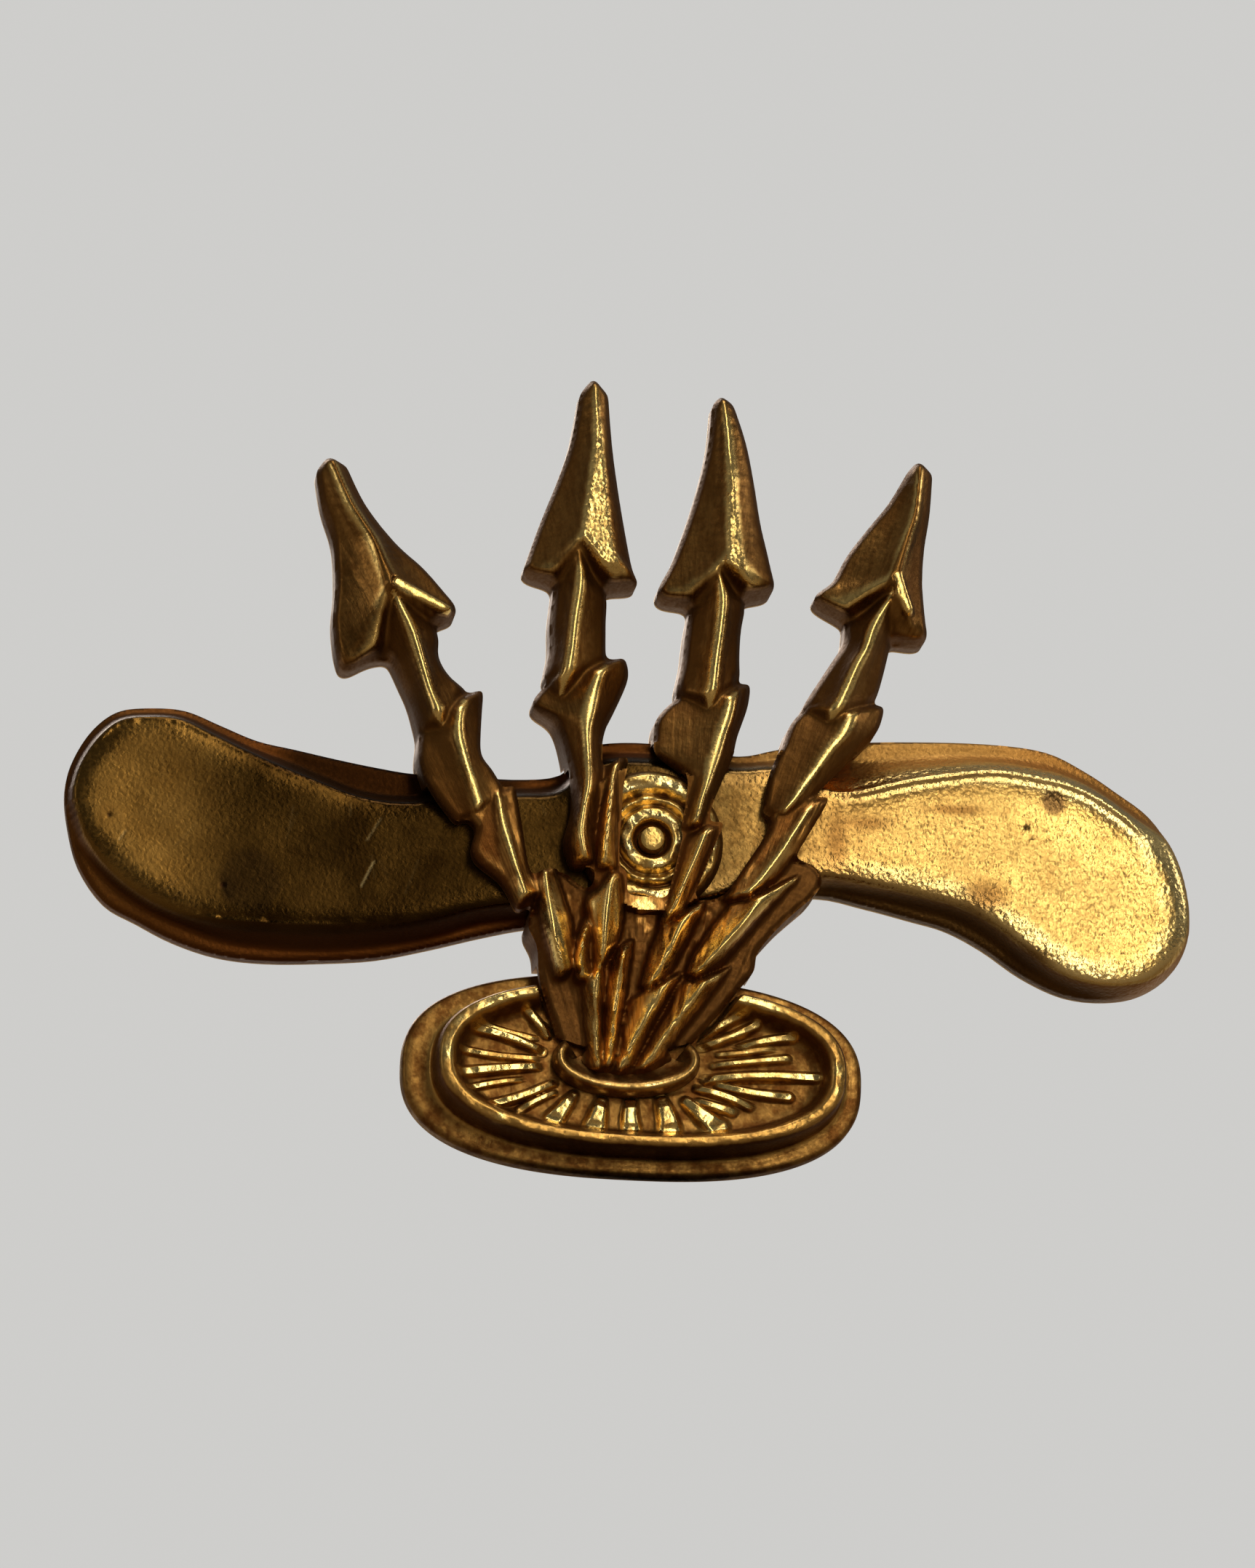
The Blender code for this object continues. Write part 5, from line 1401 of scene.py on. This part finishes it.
# ---- hub -----------------------------------------------------------------------------------
def hub_ripple(radius, turn):
    """The beaten surface of the boss, calm at its inner and outer edges."""
    x, z = math.cos(turn) * radius, math.sin(turn) * radius
    fade = min(1.0, max(0.0, (radius - 0.4) * 4)) * min(1.0, max(0.0, (1.78 - radius) * 6))
    fine = 0.014 * float(noise(x * 9.0 + 40, z * 9.0 + 40, 1.0, 93))
    return fade * (fine + 0.062 * float(noise(x * 4.5 + 20, z * 4.5 + 20, 1.0, 91)))


def build_boss(material):
    low = FACE + GAP
    rings = [(radius, HUB_TOP - depth) for radius, depth in HUB_RINGS] + [(1.80, low + 0.14)]
    profile = [(HUB_RINGS[0][0], low)]
    profile += [tuple(p) for p in smooth_curve(rings, 5, closed=False)]
    profile += [(HUB_RADIUS, low + 0.08), (HUB_RADIUS, low)]
    boss = lathe_on_hub("gilt_hub_relief", profile, 200, material, closed=True, ripple=hub_ripple)
    points = np.zeros(len(boss.data.vertices) * 3, np.float32)
    boss.data.vertices.foreach_get("co", points)
    x, _, z = points.reshape(-1, 3).T / MM
    radius = np.hypot(x - HUB_X, z - HUB_Z)
    level = np.interp(radius, *np.array(rings).T)
    hollow = np.clip((HUB_TOP - 0.13 - level) / 0.12, -1.2, 1.2) + 0.60 * grain(x, z, 0.25, 95)
    hollow = hollow + 0.35 * bell(radius, 1.52, 0.2) + 0.55 * bell(radius, 0.64, 0.2)
    add_field(boss.data, "cav", hollow)
    return boss


def build_rivet(material):
    """A low dome on a shank that runs through to the back."""
    low = FACE + GAP
    profile = (
        (0.0, HUB_TOP + 0.01), (0.15, HUB_TOP + 0.009), (0.25, HUB_TOP + 0.004),
        (0.295, HUB_TOP - 0.025), (0.315, HUB_TOP - 0.14), (0.33, HUB_TOP - 0.24),
        (0.33, low + 0.03), (0.28, low + 0.01), (0.28, 0.06), (0.25, 0.015), (0.0, 0.0),
    )
    return lathe_on_hub("gilt_rivet_turned", profile, 64, material)


# ---- dish ----------------------------------------------------------------------------------
def dish_point(half_x, half_z, turn, power):
    """A point of the dish's outline, which is a little fuller than an ellipse."""
    x = half_x * np.sign(np.cos(turn)) * np.abs(np.cos(turn)) ** (2.0 / power)
    z = half_z * np.sign(np.sin(turn)) * np.abs(np.sin(turn)) ** (2.0 / power)
    cos, sin = math.cos(DISH_TILT), math.sin(DISH_TILT)
    return DISH_CENTRE[0] + x * cos - z * sin, DISH_CENTRE[1] + x * sin + z * cos


def dish_distance(x, z):
    """About the distance outside the dish's rim."""
    half_x, half_z = 5.80, 2.60
    cos, sin = math.cos(DISH_TILT), math.sin(DISH_TILT)
    x, z = x - DISH_CENTRE[0], z - DISH_CENTRE[1]
    x, z = np.abs(x * cos + z * sin), np.abs(-x * sin + z * cos)
    size = ((x / half_x) ** DISH_POWER + (z / half_z) ** DISH_POWER) ** (1 / DISH_POWER)
    return (size - 1) * half_z


def collar_ring(x, z):
    """1 on the collar's line, less inside it."""
    return np.hypot((x - COLLAR_X) / COLLAR_HALF_X, (z - COLLAR_Z) / COLLAR_HALF_Z)


def rib_fields(x, z):
    """How far the ribs stand up at each point, 0 to 1, and how bright they are painted there, as
    wear and painted highlight.
    """
    raised, rubbed_and_lit = np.zeros(x.shape), np.zeros(x.shape)
    for k, (in_across, in_down, out_across, out_down, *widths, tall) in enumerate(RIB_LINES):
        start = np.array(place(in_across, in_down, DISH_FLOOR + 0.2))
        side = np.array(place(out_across, out_down, DISH_FLOOR + 0.2)) - start
        along = (x - start[0]) * side[0] + (z - start[1]) * side[1]
        along = np.clip(along / (side @ side), 0, 1)
        bow = 0.035 * math.sin(k * 2.4) * np.sin(along * math.pi)
        off = np.hypot(
            x - start[0] - along * side[0] + bow * side[1],
            z - start[1] - along * side[1] - bow * side[0],
        )
        half = (widths[0] + (widths[1] - widths[0]) * along) * STEP / 2
        ends = np.minimum(1.0, 0.55 + 1.8 * np.minimum(along, 1 - along))
        raised = np.maximum(raised, tall * ends * ease(off, half * 1.25, half * 0.50))
        broad = ease(half, 0.12, 0.22)
        middle = ease(off, half * 0.70, half * 0.35)
        border = bell(off, half * 0.72, half * 0.24)
        rubbed_and_lit = np.maximum(rubbed_and_lit, tall * (middle * (1 - broad * 0.25) + border * broad * 0.9))
    return raised, np.clip(rubbed_and_lit, 0, 1)


def dish_cavity(x, z, radius, turn, ribs, rubbed_and_lit):
    """Wear and painted light on the dish: bright ribs, and a bead bright in places, as wear and
    painted highlight, with painted shade on the bead's walls.
    """
    degrees = np.degrees(turn)[None] + 0 * x
    # the bead is painted bright round these angles, a painted highlight and partly wear
    wear_and_painted_light = 0.12
    for middle, width, amount in (
        (138, 30, 0.95), (182, 14, 0.55), (228, 9, 0.5), (252, 10, 0.35),
        (-4, 13, 0.95), (-38, 8, 0.6), (58, 14, 0.95),
    ):
        wear_and_painted_light = wear_and_painted_light + amount * bell((degrees - middle + 180.0) % 360.0 - 180.0, 0.0, width)
    patchy = 0.75 + 0.55 * grain(x, z, 0.30, 106)
    # the floor is darker between the ribs, patina and painted shade, and the ribs are painted
    # bright, as wear and painted highlight
    floor = 0.30 + 0.25 * ease(ribs, 0.4, 0.0) - 1.75 * rubbed_and_lit * np.clip(patchy, 0.35, 1.0)
    bead = 0.38 - 1.55 * np.clip(wear_and_painted_light, 0, 1) * np.clip(patchy, 0.2, 1.2)
    hollow = ease(radius, 4.82, 4.58) * floor + bell(radius, 4.93, 0.19) * bead
    # painted shade on the bead's inner and outer walls, and a darker border outside
    hollow = hollow + 0.35 * bell(radius, 4.68, 0.08)
    return hollow + ease(radius, 5.20, 5.34) * 0.52 + bell(radius, 5.13, 0.07) * 0.95


def build_dish(material):
    count = 624  # points round each ring
    rings = smooth_curve(DISH_RINGS, 5, closed=False)
    ring_count = len(rings)
    half_x, half_z, level, shift = (rings[:, None, k] for k in range(4))
    turn = 2 * math.pi * np.arange(count) / count
    power = 2.0 + (DISH_POWER - 2.0) * np.clip((half_x - 3.0) / 2.6, 0, 1)
    x, z = dish_point(half_x, half_z, turn, power)
    bead_shift = ease(half_x, 5.60, 5.22)
    x += RIBS_SHIFT[0] * shift + BEAD_SHIFT[0] * bead_shift
    z += RIBS_SHIFT[1] * shift + BEAD_SHIFT[1] * bead_shift
    radius = half_x + 0 * x
    ribs, rubbed_and_lit = rib_fields(x, z)
    height = level + RIB_HEIGHT * ribs * ease(radius, 4.72, 4.52)
    uneven = 0.012 * grain(x, z, 0.35, 104) + 0.006 * grain(x, z, 0.12, 105) * rubbed_and_lit
    height = height + ease(radius, 4.58, 4.4) * uneven
    # the bead is beaten and uneven
    beaten = 0.024 * grain(x, z, 0.40, 101) + 0.010 * grain(x, z, 0.14, 103) - 0.03
    height = height + bell(radius, 4.93, 0.18) * beaten
    border = ease(radius, 5.2, 5.3) * (level > 0.5)
    height = height + border * (0.010 * grain(x, z, 0.7, 102))
    # the bolts' ground takes the rim's place at the top
    off_web = polygon_distance(web_outline(), x, z)
    cut = ease(off_web, 0.20, 0.07)
    sunk = DISH_FLOOR - 0.03
    height = np.where(height > sunk, height * (1 - cut) + sunk * cut, height)
    # the collar stands on the floor
    under = ease(collar_ring(x, z), 1.42, 1.26)
    floor = height * (1 - under) + (DISH_FLOOR - 0.01) * under
    height = np.where(height > 1.0, np.minimum(height, floor), height)
    points = np.stack([x, -height, z], -1).reshape(-1, 3)
    here = np.arange(count)
    following = (here + 1) % count
    faces = []
    for r in range(0, (ring_count - 1) * count, count):
        inner = r + count
        faces += np.stack([r + here, inner + here, inner + following, r + following], 1).tolist()
    faces.append([(ring_count - 1) * count + i for i in reversed(range(count))])
    faces.append(list(range(count)))
    hollow = dish_cavity(x, z, radius, turn, ribs, rubbed_and_lit)
    hollow[off_web < 0.1] = 0.6
    return swept_object("gilt_dish_relief", points, faces, material, hollow.reshape(-1))


# ---- collar --------------------------------------------------------------------------------
def build_collar(material):
    """An open oval ring on the dish's floor, with its gap at the top."""
    base = DISH_FLOOR + GAP
    start, end, count = math.radians(-208), math.radians(28), 150
    size = len(COLLAR_SECTION)
    points, faces, hollows = [], [], []
    for k in range(count + 1):
        turn = start + (end - start) * k / count
        cos, sin = math.cos(turn), math.sin(turn)
        x, z = COLLAR_X + COLLAR_HALF_X * cos, COLLAR_Z + COLLAR_HALF_Z * sin
        out_x, out_z = COLLAR_HALF_Z * cos, COLLAR_HALF_X * sin
        length = math.hypot(out_x, out_z)
        out_x, out_z = out_x / length, out_z / length
        # lower at the tips, with less room for the inner slope at the sides
        tip = 0.55 + 0.45 * min(1.0, (count - abs(2 * k - count)) / 30.0) ** 0.6
        squeeze = 0.75 + 0.25 * min(1.0, abs(sin) * 1.2)
        degrees = math.degrees(turn) % 360
        # the lip is painted bright, a painted highlight strongest along its bottom and at its right;
        # elsewhere the collar stays brown
        lit = 0.35 + 0.65 * float(bell(degrees, 265.0, 60.0))
        lit += 0.3 * float(bell(degrees, 350.0, 14.0))
        patchy = 0.75 + 0.5 * float(noise(x * 5.0 + 9, z * 5.0 + 9, 1.0, 8))
        for i, (across, rise) in enumerate(COLLAR_SECTION):
            if across < 0:
                across *= squeeze
            rise = rise * tip * (COLLAR_TOP - base) / COLLAR_LIP
            uneven = 0.016 * float(noise(x * 3.0 + 9, z * 3.0 + i * 0.2 + 9, 1.0, 7))
            height = base + rise + uneven * min(1.0, rise * 3) * 0.8
            points.append((x + out_x * across, -height, z + out_z * across))
            lip = math.exp(-(((across - 0.01) / 0.055) ** 2))
            hollows.append(0.60 - 1.45 * lip * lit * patchy)
    for k in range(0, count * size, size):
        for i in range(size):
            j = (i + 1) % size
            faces.append((k + i, k + j, k + size + j, k + size + i))
    faces.append(tuple(range(size)))
    faces.append(tuple(count * size + i for i in reversed(range(size))))
    points = np.array(points)
    points[:, 1] = np.maximum(points[:, 1], -(COLLAR_TOP - 0.001))
    return swept_object("gilt_collar_relief", points, faces, material, np.array(hollows))


# ---- stage, in metres ----------------------------------------------------------------------
def build_floor():
    low = CAD_LOW.z - 0.00002
    size = 0.9
    mesh = bpy.data.meshes.new("floor")
    corners = [(-size, -size, low), (size, -size, low), (size, size, low), (-size, size, low)]
    mesh.from_pydata(corners, [], [(0, 1, 2, 3)])
    floor = link("floor", mesh)
    pale = Surface("pale_floor")
    path = pale.node("LightPath")
    # mirrored in the metal the floor is darker than it looks, as if a dark cloth lay in front
    behind = pale.ramp(pale.axis("Y"), start=0.0, end=0.02)
    cloth = pale.mix(behind, (0.16, 0.12, 0.08), (0.52, 0.48, 0.42))
    pale.colour = pale.mix(path.outputs["Is Glossy Ray"], (0.80, 0.79, 0.77), cloth)
    pale.roughness = 0.7
    pale.finish(metallic=0.0)
    # seen from below it is clear, so that a low viewpoint isn't blocked
    geometry = pale.node("NewGeometry")
    clear = pale.node("BsdfTransparent")
    mixer = pale.node("MixShader")
    pale.connect(geometry.outputs["Backfacing"], mixer.inputs[0])
    pale.connect(pale.shader.outputs[0], mixer.inputs[1])
    pale.connect(clear.outputs[0], mixer.inputs[2])
    pale.connect(mixer.outputs[0], pale.tree.nodes["Material Output"].inputs["Surface"])
    mesh.materials.append(pale.material)


def build_world():
    """Pale to the camera, but a dim room, brighter overhead, to the metal that mirrors it."""
    room_low, room_high = 0.028, 0.14  # the room's brightness below and above
    world = bpy.data.worlds.new("studio")
    bpy.context.scene.world = world
    world.use_nodes = True
    tree = world.node_tree
    tree.nodes.clear()

    def node(kind):
        return tree.nodes.new("ShaderNode" + kind)

    out, mix, path = node("OutputWorld"), node("MixShader"), node("LightPath")
    pale = node("Background")
    pale.inputs["Color"].default_value = (0.62, 0.615, 0.60, 1)
    pale.inputs["Strength"].default_value = 1.0
    room = node("Background")
    room.inputs["Color"].default_value = (1.0, 0.95, 0.88, 1)
    coords, split, ramp = node("TexCoord"), node("SeparateXYZ"), node("MapRange")
    ramp.interpolation_type = "SMOOTHSTEP"
    for i, value in enumerate((-0.30, 0.95, room_low, room_high)):
        ramp.inputs[1 + i].default_value = value
    for source, socket in (
        (coords.outputs["Generated"], split.inputs[0]),
        (split.outputs["Z"], ramp.inputs[0]),
        (ramp.outputs[0], room.inputs["Strength"]),
        (path.outputs["Is Glossy Ray"], mix.inputs[0]),
        (pale.outputs[0], mix.inputs[1]),
        (room.outputs[0], mix.inputs[2]),
        (mix.outputs[0], out.inputs["Surface"]),
    ):
        tree.links.new(source, socket)


def aim(obj, where, direction):
    obj.location = where
    obj.rotation_mode = "QUATERNION"
    obj.rotation_quaternion = direction.to_track_quat("-Z", "Y")


def area_light(name, where, towards, width, power, colour, height=None):
    data = bpy.data.lights.new(name, "AREA")
    data.shape = "RECTANGLE"
    data.size, data.size_y = width, height or width
    data.energy, data.color = power, colour
    aim(link(name, data), where, towards - where)


def build_lights(target):
    # the key stands where the right blade mirrors it into the camera, and is tall for the sake
    # of the ridges of the heads and of the fan
    blade = Vector((0.0095, -0.0014, 0.0045))
    mirrored = Vector((SIN_LEFT * COS_BELOW, -COS_LEFT * COS_BELOW, SIN_BELOW))
    area_light(
        "key", blade + mirrored * 0.15 + Vector((0.009, 0.0, 0.024)), blade,
        width=0.040, height=0.17, power=0.085, colour=(1.0, 0.91, 0.735),
    )
    # name, place from the target, width, power, colour
    for name, offset, width, power, colour in (
        ("top", (0.01, -0.05, 0.20), 0.09, 0.10, (1.0, 0.94, 0.84)),
        ("left", (-0.19, -0.07, 0.05), 0.07, 0.016, (1.0, 0.92, 0.82)),
        ("right", (0.17, 0.00, 0.07), 0.06, 0.030, (1.0, 0.92, 0.80)),
        ("back", (-0.06, 0.20, 0.12), 0.12, 0.20, (1.0, 0.96, 0.90)),
    ):
        area_light(name, target + Vector(offset), target, width, power, colour)


def build_camera():
    """Looks from the left and below, at the drawing's angle. Returns what it looks at."""
    direction = Vector((SIN_LEFT * COS_BELOW, COS_LEFT * COS_BELOW, SIN_BELOW))
    x, z = place(859.5, 1075.0, 1.0)
    target = Vector((x * MM, -1.0 * MM, z * MM))
    distance = 0.20
    view_size = 39.485151 * MM
    data = bpy.data.cameras.new("camera")
    data.sensor_width = 36.0
    data.lens = data.sensor_width * distance / view_size
    data.clip_start, data.clip_end = 0.005, 5.0
    camera = link("camera", data)
    aim(camera, target - direction * distance, direction)
    bpy.context.scene.camera = camera
    return target


def main():
    materials = make_materials()
    for build, key, node, slot in (
        (build_propeller, "propeller", "propeller", "gilt_propeller"),
        (build_bolts, "bolts", "lightning_spray", "gilt_bolts"),
        (build_dish, "dish", "dish", "gilt_dish"),
        (build_collar, "collar", "dish_collar", "gilt_collar"),
        (build_boss, "hub", "hub_boss", "gilt_hub"),
        (build_rivet, "rivet", "hub_rivet", "gilt_rivet"),
    ):
        obj = build(materials[key])
        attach(obj, "insignia")
        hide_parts(node)
    for node, key in (
        ("hinge_base", "fittings"), ("catch_body", "fittings"), ("catch_sleeve", "sleeve"),
        ("pin_stem", "steel"), ("hinge_rivet", "steel"),
    ):
        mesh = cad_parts[node].data
        mesh.materials.clear()
        mesh.materials.append(materials[key])
    target = build_camera()
    build_floor()
    build_world()
    build_lights(target)
    view = bpy.context.scene.view_settings
    view.view_transform = "Standard"
    view.look = "None"


main()
